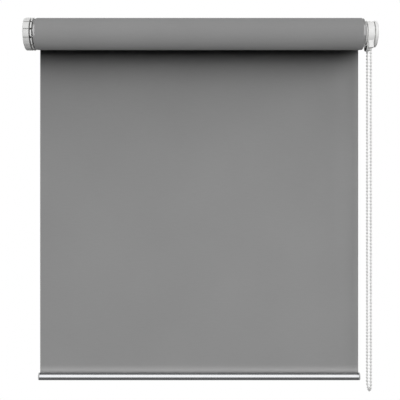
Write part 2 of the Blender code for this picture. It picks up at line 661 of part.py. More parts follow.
def chain_guard(fixed, white_plastic):
    """The drive's housing: a collar, a cheek with a rounded tongue, a shroud and a chute for each leg."""
    bore, shroud = HUB_BORE, GUARD_RADIUS - GUARD_WALL
    profile = [(COLLAR_X, bore), (COLLAR_X, COLLAR_RADIUS), (CHEEK_X[0], COLLAR_RADIUS)]
    profile += [(CHEEK_X[0], GUARD_RADIUS), (GUARD_RIM_X, GUARD_RADIUS), (GUARD_RIM_X, shroud)]
    profile += [(CHEEK_X[1], shroud), (CHEEK_X[1], bore)]
    bm = bmesh.new()
    turn(bm, profile)
    guard = add("chain_guard", bm, fixed, white_plastic)

    root = COLLAR_RADIUS - 1.5 * MM
    side = math.acos(TONGUE_RADIUS / root)
    outline = arc(TONGUE_RADIUS, math.pi, math.tau, 16, (0, -TONGUE_DROP))
    outline += arc(root, -side, side - math.pi, 10)
    bm = bmesh.new()
    extrude_x(bm, outline, (CHEEK_X[0] + 0.1 * MM, TONGUE_BACK))
    combine(guard, "UNION", "tongue", bm)
    chutes, outlets = bmesh.new(), bmesh.new()
    for y in (-PITCH_RADIUS, PITCH_RADIUS):
        front, back = y - CHUTE_REACH, y + CHUTE_REACH
        section = [(front, CHUTE_Z[0]), (back, CHUTE_Z[0]), (back, CHUTE_Z[1]), (front, CHUTE_Z[1])]
        extrude_x(chutes, section, (CHAIN_X - CHUTE_REACH, CHAIN_X + CHUTE_REACH))
        outlet = circle(OUTLET_RADIUS, 12, (CHAIN_X, y))
        extrude(outlets, [(*corner, CHUTE_Z[0] - 1 * MM) for corner in outlet], (0, 0, 17 * MM))
    combine(guard, "UNION", "chutes", chutes)
    combine(guard, "DIFFERENCE", "chain_outlets", outlets)


def chain_wheel(drive, white_plastic):
    """The wheel with a pocket for each bead, and the open sleeve that turns the springs."""
    start, end = WHEEL_X
    bore, groove = SPINDLE_RADIUS + GAP, PITCH_RADIUS * math.cos(math.pi / POCKETS) - CORD_RADIUS - GAP
    soft, half = 0.4 * MM, WHEEL_GROOVE / 2
    profile = [(start, bore), (start, WHEEL_RADIUS - soft), (start + soft, WHEEL_RADIUS)]
    profile += [(CHAIN_X - half, WHEEL_RADIUS), (CHAIN_X - half, groove), (CHAIN_X + half, groove)]
    profile += [(CHAIN_X + half, WHEEL_RADIUS), (end - soft, WHEEL_RADIUS)]
    profile += [(end, WHEEL_RADIUS - soft), (end, bore)]
    bm = bmesh.new()
    turn(bm, profile, 2 * POCKETS)
    wheel = add("chain_wheel", bm, drive, white_plastic)
    bm = bmesh.new()
    for i in range(POCKETS):
        turned = Matrix.Rotation(math.tau * i / POCKETS, 4, "X")
        where = turned @ Matrix.Translation((CHAIN_X, 0, PITCH_RADIUS))
        bmesh.ops.create_uvsphere(bm, u_segments=6, v_segments=4, radius=POCKET_RADIUS, matrix=where)
    combine(wheel, "DIFFERENCE", "pockets", bm)

    first, last = TOP + SLEEVE_GAP, TOP - SLEEVE_GAP + math.tau
    outline = arc(SLEEVE_RADII[1], first, last, 32) + arc(SLEEVE_RADII[0], last, first, 32)
    bm = bmesh.new()
    extrude_x(bm, outline, (SLEEVE_END_X, start + 1 * MM))
    combine(wheel, "UNION", "sleeve", bm)


def wrap_springs(drive, spring_steel):
    """Two square-wire springs that grip the spindle, with a tang on each side of the hub's key."""
    corner = SPRING_CORNER / SPRING_RADIUS
    turned = SPRING_TURNS * math.tau - 2 * TANG_ANGLE
    for i, start in enumerate(SPRING_STARTS):
        end = start + SPRING_PITCH * turned / math.tau
        radii = (TANG_REACH, SPRING_RADIUS + SPRING_CORNER)
        first = [on_circle(radius, TOP + TANG_ANGLE, start) for radius in radii]
        last = [on_circle(radius, TOP - TANG_ANGLE, end) for radius in reversed(radii)]
        coil = helix(SPRING_RADIUS, (start, end), TOP + TANG_ANGLE + corner, turned - 2 * corner, 13)
        bm = bmesh.new()
        wire(bm, first + coil + last, SPRING_WIRE / math.sqrt(2), 4)
        add(f"wrap_spring_{i + 1}", bm, drive, spring_steel)


def clutch_base(fixed, white_plastic, zinc_steel):
    """The fixed plate with its spindle, hooked into the bracket, and the screw that keeps the hub on."""
    start = HUB_X[0]
    drill = SCREW_RADIUS + GAP
    drill_end = start + SCREW_LENGTH + 2 * MM
    profile = [(drill_end, 0), (drill_end, drill), (start, drill), (start, STUB_RADIUS)]
    profile += [(SPINDLE_SHOULDER_X, STUB_RADIUS), (SPINDLE_SHOULDER_X, SPINDLE_RADIUS)]
    profile += [(BASE_X[0], SPINDLE_RADIUS), (BASE_X[0], BASE_RADIUS), (BASE_STEP[0], BASE_RADIUS)]
    profile += [BASE_STEP, (BASE_X[1], BASE_STEP[1]), (BASE_X[1], 0)]
    bm = bmesh.new()
    turn(bm, profile)
    base = add("clutch_base", bm, fixed, white_plastic)
    bm = bmesh.new()
    radial_blocks(bm, HOOK_ANGLES, HOOK_RADII, HOOK_WIDTH, (BASE_X[1] - 1 * MM, HOOK_END_X))
    combine(base, "UNION", "hooks", bm)

    washer = (start - GAP - WASHER_THICKNESS, start - GAP)
    profile = [(washer[0], drill), (washer[0], WASHER_RADIUS), (washer[1], WASHER_RADIUS), (washer[1], drill)]
    bm = bmesh.new()
    turn(bm, profile, 18)
    add("spindle_washer", bm, fixed, zinc_steel)

    seat = washer[0] - GAP
    head, end = seat - 2 * MM, seat + SCREW_LENGTH
    profile = [(head, 0), (head, SCREW_HEAD_RADIUS - 0.6 * MM), (head + 0.8 * MM, SCREW_HEAD_RADIUS)]
    profile += [(seat, SCREW_HEAD_RADIUS), (seat, SCREW_RADIUS)]
    profile += [(end - 1 * MM, SCREW_RADIUS), (end, 0.6 * MM), (end, 0)]
    bm = bmesh.new()
    turn(bm, profile, 16)
    add("spindle_screw", bm, fixed, zinc_steel)


def drive_hub(roller, grey_plastic):
    """The plug in the tube's right end, with the key between the springs' tangs inside its bore."""
    bm = bmesh.new()
    extrude_x(bm, crown_outline(), (HUB_X[0], HALF_WIDTH + 1 * MM))
    hub = add("drive_hub", bm, roller, grey_plastic)
    seat, flange_end = HALF_WIDTH + GAP, HUB_X[1]
    profile = [(seat, 0), (seat, FLANGE_RADIUS), (flange_end, FLANGE_RADIUS), (flange_end, HUB_NECK[1])]
    profile += [HUB_NECK, (HUB_NECK[0], 0)]
    bm = bmesh.new()
    turn(bm, profile)
    combine(hub, "UNION", "flange", bm)
    hole = STUB_RADIUS + GAP
    start, end = past((HUB_X[0], HUB_NECK[0]))
    profile = [(start, 0), (start, hole), (HUB_FLOOR_X, hole)]
    profile += [(HUB_FLOOR_X, HUB_BORE), (end, HUB_BORE), (end, 0)]
    bm = bmesh.new()
    turn(bm, profile)
    combine(hub, "DIFFERENCE", "bore", bm)
    bm = bmesh.new()
    radial_blocks(bm, [TOP], (KEY_INNER, HUB_BORE + 1.5 * MM), KEY_WIDTH, KEY_X)
    combine(hub, "UNION", "key", bm)


def right_bracket(fixed, white_steel, white_plastic):
    """The drive end's bracket, with slots for the base's hooks, and its cover."""
    bracket = add_bracket("right_bracket", RIGHT_PLATE_X, RIGHT_HEAD_RADIUS, fixed, white_steel)
    bm = bmesh.new()
    radii = (HOOK_RADII[0] - GAP, HOOK_RADII[1] + GAP)
    radial_blocks(bm, HOOK_ANGLES, radii, HOOK_WIDTH + 2 * GAP, past(RIGHT_PLATE_X))
    combine(bracket, "DIFFERENCE", "hook_slots", bm)
    bm = bmesh.new()
    pegs(bm, RIGHT_PEG_CIRCLE, PEG_RADIUS + GAP, past(RIGHT_PLATE_X))
    combine(bracket, "DIFFERENCE", "peg_holes", bm)

    rim, face = RIGHT_COVER_X
    floor, bore = face - GUARD_WALL, GUARD_RADIUS - GUARD_WALL
    profile = [(face, 0), (face, GUARD_RADIUS - 1.8 * MM), (face - 0.5 * MM, GUARD_RADIUS - 0.6 * MM)]
    profile += [(face - 1.6 * MM, GUARD_RADIUS), (rim, GUARD_RADIUS), (rim, bore), (floor, bore), (floor, 0)]
    bm = bmesh.new()
    turn(bm, profile)
    cover = add("right_cover", bm, fixed, white_plastic)
    bm = bmesh.new()
    pegs(bm, RIGHT_PEG_CIRCLE, PEG_RADIUS, (rim, floor + 1 * MM))
    combine(cover, "UNION", "pegs", bm)
    bm = bmesh.new()
    arm_opening(bm, (rim - 1 * MM, RIGHT_PLATE_X[1] + GAP), (11 * MM, 26 * MM))
    combine(cover, "DIFFERENCE", "arm_opening", bm)


def main():
    for item in list(bpy.data.objects):
        bpy.data.objects.remove(item)
    cloth = finish("coated_cloth", "8C8C8C", 0.75)
    white_plastic = finish("white_plastic", "EDEDEB", 0.35)
    grey_plastic = finish("grey_plastic", "B9BABB", 0.45)
    chain_plastic = finish("chain_plastic", "DCDCDC", 0.35)
    pvc = finish("strip_plastic", "E4E2DC", 0.5)
    white_steel = finish("painted_steel", "E9E9E7", 0.4)
    zinc_steel = finish("zinc_steel", "A9ABAC", 0.35, 1.0)
    spring_steel = finish("spring_steel", "8E9092", 0.3, 1.0)
    aluminium = finish("tube_aluminium", "B4B6B8", 0.4, 1.0)
    bright = finish("bar_aluminium", "D9DADB", 0.22, 1.0)

    fixed, roller, drive = body("fixed"), body("roller"), body("drive")
    sliding, lift = body("sliding_pin"), body("lift")
    roller_tube(roller, aluminium, pvc)
    wound_cloth(roller, cloth)
    hanging_cloth(fixed, cloth)
    bottom_bar(lift, bright, pvc, grey_plastic)
    left_bracket(fixed, white_steel, grey_plastic)
    left_cover(fixed, white_plastic)
    left_lid(fixed, white_plastic)
    idle_plug(roller, sliding, grey_plastic, spring_steel)
    drive_hub(roller, grey_plastic)
    clutch_base(fixed, white_plastic, zinc_steel)
    wrap_springs(drive, spring_steel)
    chain_wheel(drive, white_plastic)
    chain_guard(fixed, white_plastic)
    right_bracket(fixed, white_steel, white_plastic)
    bead_chain(fixed, chain_plastic)


main()
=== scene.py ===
"""Looks of a chain-operated roller blind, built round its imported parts.

Laid out as an add-on: settings hold the sizes and colours, each operator makes one piece or a group of
like pieces, and a panel lists them. Metres, +Z up, the room on the -Y side, the wall at Y = 0.
"""

from math import cos, dist, hypot, pi, radians, sin, tau

import bpy
from bpy.props import FloatProperty, FloatVectorProperty, IntProperty, PointerProperty
from bpy.types import Operator, Panel, PropertyGroup
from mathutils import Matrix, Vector


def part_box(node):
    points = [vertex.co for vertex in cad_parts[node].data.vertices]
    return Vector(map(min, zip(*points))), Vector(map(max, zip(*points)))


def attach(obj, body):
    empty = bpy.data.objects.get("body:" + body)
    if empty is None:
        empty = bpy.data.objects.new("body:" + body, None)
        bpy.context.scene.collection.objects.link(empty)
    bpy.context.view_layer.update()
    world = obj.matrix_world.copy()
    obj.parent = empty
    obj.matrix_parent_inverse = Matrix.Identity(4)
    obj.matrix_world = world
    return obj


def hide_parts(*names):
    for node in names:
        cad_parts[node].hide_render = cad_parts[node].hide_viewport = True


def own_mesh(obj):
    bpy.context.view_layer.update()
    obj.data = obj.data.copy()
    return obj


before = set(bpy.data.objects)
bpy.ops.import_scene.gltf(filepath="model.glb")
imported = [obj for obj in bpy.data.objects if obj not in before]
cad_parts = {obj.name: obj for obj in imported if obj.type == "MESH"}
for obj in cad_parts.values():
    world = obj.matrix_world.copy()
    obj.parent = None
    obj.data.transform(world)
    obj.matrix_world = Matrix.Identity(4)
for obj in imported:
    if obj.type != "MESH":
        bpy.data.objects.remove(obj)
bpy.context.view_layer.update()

bl_info = {
    "name": "Roller blind",
    "version": (1, 0, 0),
    "blender": (4, 5, 0),
    "location": "View3D > Sidebar > Roller blind",
    "description": "Makes the cloth, chain, end pieces, finishes and stage of a roller blind",
    "category": "Object",
}

MM = 0.001
GAP = 0.3 * MM

# Meshes
ALONG_X = (0, pi / 2, 0)  # turns a round primitive from Z to X
MERGE_DISTANCE = 0.002 * MM
SHARP_ANGLE = radians(35)  # edges sharper than this are rounded
SMOOTH_ANGLE = radians(50)  # edges flatter than this are shaded smooth
CLOTH_SMOOTH_ANGLE = radians(30)
FACING = 0.5  # a face looks along an axis where more of its normal than this does
ROUND_SIDES = 48
CLOTH_UV = "cloth_metres"

# The roller's axis, as high as the origin
AXIS_Y = -42 * MM
ROLLER_AXIS = (AXIS_Y, 0.0)

# Spiral of the wound cloth, outside to inside
ROLL_TURNS = 9.25
ROLL_STEPS = 72
ROLL_PITCH = 0.78 * MM

# Where the cloth hangs, and its hem in the bar
CLOTH_TOP = -0.3 * MM
CLOTH_CELLS = 60  # rows, and columns too
HEM_TOP, HEM_MIDDLE, HEM_END = -628.15 * MM, -630.5 * MM, -633.65 * MM
HEM_STEP = 0.4 * MM  # height over which the cloth grows to the hem's thickness
HEM_THICKNESS = 0.8 * MM
# Waves across it: share of the ripple, radians per metre, radians at the middle, and their change downwards
RIPPLES = ((1.0, 21, 0.8, 0), (0.6, 9, 0, -4))

# Bead chain: 229 beads, 13 of them on the wheel
LOOP_BEADS = 229
WHEEL_BEADS = 6  # on each side of the wheel's top
PITCH_RADIUS = 14.324 * MM
CHAIN_X = 313.3 * MM
BEAD_RINGS = 6
NECK_START, NECK_WIDTH, NECK_LENGTH = 0.8, 0.75, 0.2  # shares of a bead's radius, and of its width there
CORD_SIDES = 6
CORD_STEPS = 4  # from bead to bead

# Pegs that join covers and lid to the brackets
PEG_RADIUS = 1.6 * MM
PEG_ANGLES = [radians(150 + 120 * i) for i in range(3)]

# Where the brackets' arms pass through both covers
OPENING_Z = (-12.3 * MM, 18.3 * MM)

# Left cover and lid. An edge is points inwards of the face and their radii, in mm
COVER_FACE, COVER_RIM = -319.8 * MM, -308.1 * MM
COVER_RADIUS = 29.5 * MM
COVER_BORE = 27.1 * MM
COVER_FLOOR = COVER_FACE + 2.4 * MM
COVER_EDGE = ((0, 27.3), (0.12, 28.2), (0.5, 28.95), (1.1, 29.37), (1.9, 29.5))
COVER_DISC = 6 * MM  # the middle of its face
LEFT_PLATE = (-316.1 * MM, -314.2 * MM)
LEFT_OPENING = (AXIS_Y + 18 * MM, AXIS_Y + 31 * MM)
LEFT_PEG_CIRCLE = 20 * MM
LID_BACK, LID_FACE = -305.6 * MM, -303.2 * MM
LID_BORE = 5.5 * MM
LID_FLOOR = LID_BACK + 0.4 * MM
LID_SKIRT = (20.4 * MM, 22 * MM)
NOTCHES = 12
FIRST_NOTCH = radians(173.8)
NOTCH_WIDTH, NOTCH_DEPTH, NOTCH_LENGTH = 2.2 * MM, 2.0 * MM, 10 * MM  # in the cover
# The notch walls get a darker grey: painted shade in the notches
NOTCH_WALLS = (COVER_BORE + 0.1 * MM, COVER_RADIUS - 0.3 * MM)  # radii between which they lie
LID_NOTCH_WIDTH = 3.2 * MM
SLOT_DEPTH, SLOT_WIDTH = 9.5 * MM, 5.4 * MM  # in the lid's skirt
SLOT_START, SLOT_END = COVER_RIM - 3 * MM, LID_BACK - 0.2 * MM
# The skirt's and slots' walls get a grey: painted shade in the groove and the lid's notches
SKIRT_WALLS = (LID_SKIRT[0] - MM, LID_SKIRT[1] + 0.3 * MM)
SLOT_WALLS = (LID_SKIRT[0], COVER_RADIUS - 0.5 * MM)

# The idle pin's spring, from the pin's collar to its seat in the plug
COIL_X = (-292.58 * MM, -268.9 * MM)
COIL_RADIUS = 4.2 * MM
COIL_TURNS = 5
WIRE_SIDES, COIL_STEPS = 10, 32  # round the wire, and to a turn

# Chain guard
GUARD_RADIUS = 24 * MM
GUARD_BORE = 22.2 * MM
CHEEK = (307.0 * MM, 308.6 * MM)
COLLAR_END = 304.6 * MM
COLLAR_RADIUS = 18.5 * MM
HUB_BORE = 13.1 * MM
GUARD_RIM = 318.4 * MM
TONGUE_RADIUS = 15 * MM
TONGUE_PLACE = (AXIS_Y, -17 * MM)
TONGUE_X = (CHEEK[0] + 0.1 * MM, 310.0 * MM)
TONGUE_BORE = 17 * MM  # about the roller's axis
# Recess in the tongue's inner face: its faces are coloured near black as painted shade, where the recess lies
# in shadow
RECESS_RADIUS = TONGUE_RADIUS - 0.6 * MM
RECESS_TOP, RECESS_DEPTH = -23.3 * MM, 0.9 * MM
RECESS_SHADE_X = (CHEEK[0] + 0.1 * MM, CHEEK[0] + RECESS_DEPTH + 0.1 * MM)  # between which its faces lie
RECESS_SHADE_MARGIN = 0.05 * MM
CHUTE_REACH = 4.3 * MM  # from a leg's middle to the outside of its chute
CHUTE_Z = (-28 * MM, -15 * MM)
OUTLET_RADIUS = 3.1 * MM
OUTLET_Z = (CHUTE_Z[0] - MM, CHUTE_Z[1] + 3 * MM)
OUTLET_SIDES = 32

# Right cover
RIGHT_RIM, RIGHT_FACE = 320.6 * MM, 326.3 * MM
RIGHT_FLOOR = RIGHT_FACE - 1.8 * MM
RIGHT_EDGE = ((0, 21.4), (0.15, 22.4), (0.5, 23.2), (1.1, 23.8), (1.8, 24))
RIGHT_DISC = 5 * MM
RIGHT_PLATE_END = 322.6 * MM
RIGHT_OPENING = (AXIS_Y + 11 * MM, AXIS_Y + 26 * MM)
RIGHT_PEG_CIRCLE = 15 * MM

# Bottom bar and its end caps. Their edge is points inwards of the face and of the radius, in mm
BAR_CENTRE = (-12.68 * MM, -638.5 * MM)
BAR_HOLLOW = 5.8 * MM
BAR_WEB = -2.2 * MM
CAP_SEAT, CAP_LUG_END = 300.3 * MM, 290 * MM
CAP_EDGE = ((0.9, 0), (0.35, 0.25), (0.08, 0.7), (0, 1.6))
CAP_CHAMFER = 0.3 * MM
CAP_DISC = 1.2 * MM
CAP_SOFT_EDGE = 0.12 * MM
LUG_SIDES = 40

# Stage. A light's azimuth to the right of the room's middle and elevation above the blind's, in degrees,
# and the pieces that it lights alone or leaves out
FLOOR_SIZE, FLOOR_Y = 3.4, -0.1
CLOTH_PIECES = ("hanging_cloth",)
COVERS = ("left_cover_moulded", "left_lid_moulded", "chain_guard_moulded", "right_cover_moulded")
END_PIECES = (*COVERS, "bead_chain_loop")
LIGHTS = {
    "front": (0, 45, "INCLUDE", CLOTH_PIECES),
    "side": (75, 25, "INCLUDE", CLOTH_PIECES),
    "top": (75, 80, "INCLUDE", CLOTH_PIECES),
    "low": (0, -25, "EXCLUDE", CLOTH_PIECES + END_PIECES),
    "level": (0, -10, "INCLUDE", END_PIECES),
    "back": (180, 30, "EXCLUDE", ()),
}
LIGHT_DISTANCE, LIGHT_SIZE = 7.0, 4.8
LIT_PLACE = (0, AXIS_Y, -0.3)
# Greys of the surroundings. From the ground (0) by the horizon (0.5) to the zenith (1)
SKY = ((0.48, 0.0), (0.52, 1.0))
# Round the X axis: from the wall side's horizon (0) below the blind to the room's (0.5), and over it back
SOFT_BOX = ((0.42, 0.11), (0.47, 1.0), (0.63, 1.0), (0.68, 0.06), (0.84, 0.06), (0.88, 1.0))


def colour(hex_colour):
    """The linear colour of an sRGB hex string, with full alpha."""
    channels = [int(hex_colour[i : i + 2], 16) / 255 for i in (0, 2, 4)]
    return (*[c / 12.92 if c <= 0.04045 else ((c + 0.055) / 1.055) ** 2.4 for c in channels], 1.0)


def length(name, description, millimetres):
    """A setting for a length, given in mm."""
    return FloatProperty(
        name=name, description=description, default=millimetres * MM, min=0, precision=5, unit="LENGTH"
    )


def tint(name, description, hex_colour):
    """A setting for a colour, given as sRGB hex."""
    linear = colour(hex_colour)
    return FloatVectorProperty(
        name=name, description=description, default=linear, size=4, min=0, max=1, subtype="COLOR"
    )


def power(name, description, watts):
    return FloatProperty(name=name, description=description, default=watts, min=0, unit="POWER")


def amount(name, description, default):
    return FloatProperty(name=name, description=description, default=default, min=0)


class ClothSettings(PropertyGroup):
    width: length("Width", "Width of the cloth", 600)
    thickness: length("Thickness", "Thickness of the coated cloth", 0.36)
    ripple: length("Ripple", "How far the hanging cloth waves out of its plane", 0.25)
    seal: length("Sealed edge", "Width of the heat-sealed edge of the wound cloth", 3.2)
    wander: length("Wander", "How far the edges of wound turns stray outwards", 0.8)
    thread: length("Thread spacing", "Distance between the weave's threads", 0.6)
    face: tint("Face", "Dyed face of the cloth", "8C8C8C")
    core: tint("Core", "Foam core where the cloth is cut", "B4B4B2")
    hem: tint("Hem", "Welded hem above the bar", "848484")


class ChainSettings(PropertyGroup):
    pitch: length("Pitch", "Distance between bead centres", 6)
    bead: length("Bead", "Diameter of a bead", 4.5)
    cord: length("Cord", "Diameter of the cord in the beads", 1.2)
    bead_sides: IntProperty(name="Bead sides", description="Sides round a bead", default=10, min=6, max=24)
    bead_colour: tint("Beads", "Moulded beads", "E9E9E8")
    cord_colour: tint("Cord colour", "Polyester cord", "D6D6D4")


class EndSettings(PropertyGroup):
    soft_edge: length("Soft edge", "Width of the rounding on moulded edges", 0.35)
    steps: IntProperty(name="Steps", description="Sides round a turned piece", default=84, min=24, max=240)
    # The drum's white is set darker than the drive's as painted shade for the less lit left end
    drum: tint("Drum", "Plastic of the left cover and its lid", "DFDFDE")
    # Painted shade: a darker, rougher white for the drum's notch walls, where shade falls
    notch: tint("Notches", "Rougher plastic in the drum's notches", "C4C4C3")
    # Painted shade: grey on the lid's skirt and slot walls, standing for the shade in the groove and notches
    skirt: tint("Skirt", "Grey plastic of the lid's skirt and slots", "9C9C9B")
    # The drive's white is set lighter than the drum's as painted light for the more lit right end
    drive: tint("Drive", "Plastic of the chain drive and right cover", "F0F0EF")
    # Partly real grey nylon, partly painted shade: set darker so the drive hub shows as a dark line in the
    # gap by the roll
    inner: tint("Inner", "Grey plastic of plugs, pin and bush", "808182")
    # Painted shade: near black on the faces of the tongue's recess, standing for its shadow, though described
    # as rubber
    pad: tint("Pad", "Rubber in the recess of the guard's tongue", "1C1C1C")
    cap: tint("Bar caps", "Plastic of the bar's end caps", "C9CACB")
    strip: tint("Strip", "Extruded plastic of the cloth's strip and hem rod", "E4E2DC")


class MetalSettings(PropertyGroup):
    bar: tint("Bar", "Bright anodised bottom bar", "BABBBD")
    tube: tint("Tube", "Mill-finish roller tube", "C9CBCD")
    bracket: tint("Bracket", "Powder coat on the steel brackets", "E9E9E7")
    zinc: tint("Zinc", "Plated screw and washer", "B9BCBE")
    spring: tint("Spring", "Drawn spring wire", "8E9092")
    spring_wire: length("Spring wire", "Thickness of the idle pin's spring wire", 0.8)


class StageSettings(PropertyGroup):
    focal_length: FloatProperty(
        name="Focal length", description="Lens of the camera", default=63.4, min=10, max=300, unit="CAMERA"
    )
    camera_place: FloatVectorProperty(
        name="Camera", description="Place of the camera", default=(0.0015, -1.342, -0.306), subtype="XYZ"
    )
    floor_height: FloatProperty(
        name="Floor", description="Height of the floor", default=-1.2, max=0, unit="LENGTH"
    )
    floor: tint("Floor colour", "Pale floor", "F7F7F6")
    floor_glow: amount("Floor's own light", "Light that the floor gives off, to stay white", 0.24)
    sky: amount("Sky", "Light from all round above the horizon", 0.78)
    soft_box: amount("Soft box", "Brightness of the surroundings in reflections", 1.9)
    front: power("Front light", "In front of and above the hanging cloth", 108)
    side: power("Side light", "To the right of the hanging cloth", 722)
    top: power("Top light", "High above the hanging cloth, to its right", 766)
    low: power("Low light", "Under the roll and the bar, in the room", 480)
    level: power("Level light", "Before the end pieces and the chain", 305)
    back: power("Back light", "Behind the blind", 80)


SETTINGS = {
    "blind_cloth": ClothSettings,
    "blind_chain": ChainSettings,
    "blind_ends": EndSettings,
    "blind_metal": MetalSettings,
    "blind_stage": StageSettings,
}


# Materials


def add_node(material, kind, settings, links=None):
    """Adds a shader node: settings are its sockets' values or its options, links its sockets' sources."""
    node = material.node_tree.nodes.new(f"ShaderNode{kind}")
    for name, value in settings.items():
        if isinstance(name, int) or name in node.inputs:
            node.inputs[name].default_value = value
        else:
            setattr(node, name, value)
    for name, source in (links or {}).items():
        material.node_tree.links.new(source, node.inputs[name])
    return node


def new_material(name, base, roughness, settings=None, layer=None):
    """A material whose shader has these plain values, and the object's or a UV layer's coordinates."""
    material = bpy.data.materials.new(name)
    material.use_nodes = True
    material.diffuse_color = base
    shader = material.node_tree.nodes["Principled BSDF"]
    for socket, value in {"Base Color": base, "Roughness": roughness, **(settings or {})}.items():
        shader.inputs[socket].default_value = value
    if layer:
        return material, add_node(material, "UVMap", {"uv_map": layer}).outputs["UV"]
    return material, add_node(material, "TexCoord", {}).outputs["Object"]


def shade(base, factor):
    """A colour made darker or lighter by a factor."""
    return (*[min(1.0, channel * factor) for channel in base[:3]], 1.0)


def set_stops(ramp, stops):
    """Gives a colour ramp its stops: positions in rising order, and their colours."""
    for i, (position, tone) in enumerate(stops):
        # A new ramp has two stops already
        stop = ramp.elements[i] if i < 2 else ramp.elements.new(position)
        stop.position = position
        stop.color = tone


def vary(material, base, pattern, shades, reach=(0.0, 1.0), grain=None, gloss=None, relief=None):
    """Varies a surface as a real one does, and returns its material.

    Its tone runs between two shades of its base while a pattern runs over its reach. A grain spreads its
    roughness between the two values of gloss, and lifts it by a strength and a height.
    """
    tone = add_node(material, "ValToRGB", {}, {"Fac": pattern})
    set_stops(tone.color_ramp, [(position, shade(base, factor)) for position, factor in zip(reach, shades)])
    links = {"Base Color": tone.outputs["Color"]}
    if gloss:
        low, high = gloss
        spread = add_node(material, "MapRange", {"To Min": low, "To Max": high}, {"Value": grain})
        links["Roughness"] = spread.outputs["Result"]
    if relief:
        strength, height = relief
        bump = add_node(material, "Bump", {"Strength": strength, "Distance": height}, {"Height": grain})
        links["Normal"] = bump.outputs["Normal"]
    shader = material.node_tree.nodes["Principled BSDF"]
    for socket, source in links.items():
        material.node_tree.links.new(source, shader.inputs[socket])
    return material


def woven_cloth(name, base, thread):
    """Plain-weave polyester with a foam coat: matt, with a thread grid and faint slubs in its tone."""
    soft = {"Specular IOR Level": 0.2, "Sheen Weight": 0.08, "Sheen Roughness": 0.5}
    material, uv = new_material(name, base, 0.82, soft, CLOTH_UV)
    # A wave's period is 0.314 of its unit, so this scale gives one thread per spacing
    scale = 0.31416 / thread
    warp, weft = (
        add_node(material, "TexWave", {"Scale": scale, "bands_direction": way}, {"Vector": uv})
        for way in ("X", "Y")
    )
    crossed = {0: warp.outputs["Fac"], 1: weft.outputs["Fac"]}
    weave = add_node(material, "Math", {"operation": "MULTIPLY"}, crossed).outputs[0]
    # Slubs: thicker stretches of thread, about 20 mm long and 1.5 mm apart
    along = add_node(material, "Mapping", {"Scale": (50, 650, 1)}, {"Vector": uv}).outputs[0]
    thick = {"Scale": 1.0, "Detail": 3.0, "Roughness": 0.6}
    slubs = add_node(material, "TexNoise", thick, {"Vector": along}).outputs["Fac"]
    # The dye's slow change, over about 170 mm
    broad = add_node(material, "TexNoise", {"Scale": 6.0, "Detail": 2.0}, {"Vector": uv}).outputs["Fac"]
    tone = add_node(material, "Math", {"operation": "MULTIPLY_ADD", 1: 0.6}, {0: slubs, 2: broad}).outputs[0]
    return vary(material, base, tone, (0.955, 1.045), (0.35, 1.0), weave, relief=(0.25, 0.05 * MM))


def sealed_edge(name, base, thread):
    """The wound cloth's heat-sealed edge: the weave under a skin of melted coating with a hard gloss."""
    material = woven_cloth(name, base, thread)
    shader = material.node_tree.nodes["Principled BSDF"]
    shader.inputs["Coat Weight"].default_value = 1.0
    shader.inputs["Coat Roughness"].default_value = 0.15
    shader.inputs["Coat IOR"].default_value = 2.15
    return material


def cut_foam(name, base):
    """The cloth's cut edge: the paler foam core between the face and the back, with its pores."""
    material, place = new_material(name, base, 0.9)
    # Pores about 0.3 mm across
    pores = add_node(material, "TexNoise", {"Scale": 3000.0, "Detail": 2.0}, {"Vector": place})
    return vary(material, base, pores.outputs["Fac"], (0.85, 1.1))


def moulded_plastic(name, base, roughness, grain):
    """Injection-moulded plastic: an even tone with faint flow marks, and the mould's spark grain."""
    material, place = new_material(name, base, roughness, {"IOR": 1.53})
    # Flow marks: broad clouds about 25 mm across
    clouds = {"Scale": 40.0, "Detail": 3.0, "Distortion": 0.6}
    flow = add_node(material, "TexNoise", clouds, {"Vector": place}).outputs["Fac"]
    # The grain is coarser than a mould's, which would be too fine to show
    spots = {"Scale": 1 / grain, "Detail": 1.0}
    spark = add_node(material, "TexNoise", spots, {"Vector": place}).outputs["Fac"]
    gloss = (roughness - 0.06, roughness + 0.08)
    return vary(material, base, flow, (0.965, 1.02), (0.3, 0.75), spark, gloss, relief=(0.12, 0.04 * MM))


def drawn_metal(name, base, roughness, line, stretch):
    """Extruded or drawn metal: bright, with lines along X that spread its highlights.

    The lines are this wide, which is coarser than real ones so that they show, and so many times longer.
    """
    material, place = new_material(name, base, roughness, {"Metallic": 1.0})
    across = 1 / line
    run = add_node(material, "Mapping", {"Scale": (across / stretch, across, across)}, {"Vector": place})
    fine = {"Scale": 1.0, "Detail": 2.0, "Roughness": 0.6}
    lines = add_node(material, "TexNoise", fine, {"Vector": run.outputs[0]}).outputs["Fac"]
    gloss = (roughness * 0.7, roughness * 1.4)
    return vary(material, base, lines, (0.9, 1.05), grain=lines, gloss=gloss, relief=(0.1, 0.02 * MM))


def powder_coat(name, base):
    """Powder coat on sheet steel: satin, with the shallow orange peel of the baked film."""
    material, place = new_material(name, base, 0.4)
    # Orange peel about 1 mm across
    peel = add_node(material, "TexNoise", {"Scale": 900.0, "Detail": 1.5}, {"Vector": place})
    bumps = peel.outputs["Fac"]
    return vary(material, base, bumps, (0.94, 1.03), grain=bumps, relief=(0.3, 0.06 * MM))


def twisted_cord(name, base):
    """Polyester cord: matt, with the slanted strands of its twist, about 0.7 mm apart."""
    material, place = new_material(name, base, 0.7)
    twist = {"Scale": 450.0, "bands_direction": "DIAGONAL", "Distortion": 0.4}
    strands = add_node(material, "TexWave", twist, {"Vector": place})
    return vary(material, base, strands.outputs["Fac"], (0.8, 1.0))


# Modelling


def start_piece(name):
    """Names the primitive just added and puts its place into its mesh."""
    piece = bpy.context.object
    piece.name = piece.data.name = name
    bpy.ops.object.transform_apply()
    return piece


def clear_selection():
    """Leaves nothing selected, so that an operator acts on the new piece alone."""
    bpy.ops.object.select_all(action="DESELECT")


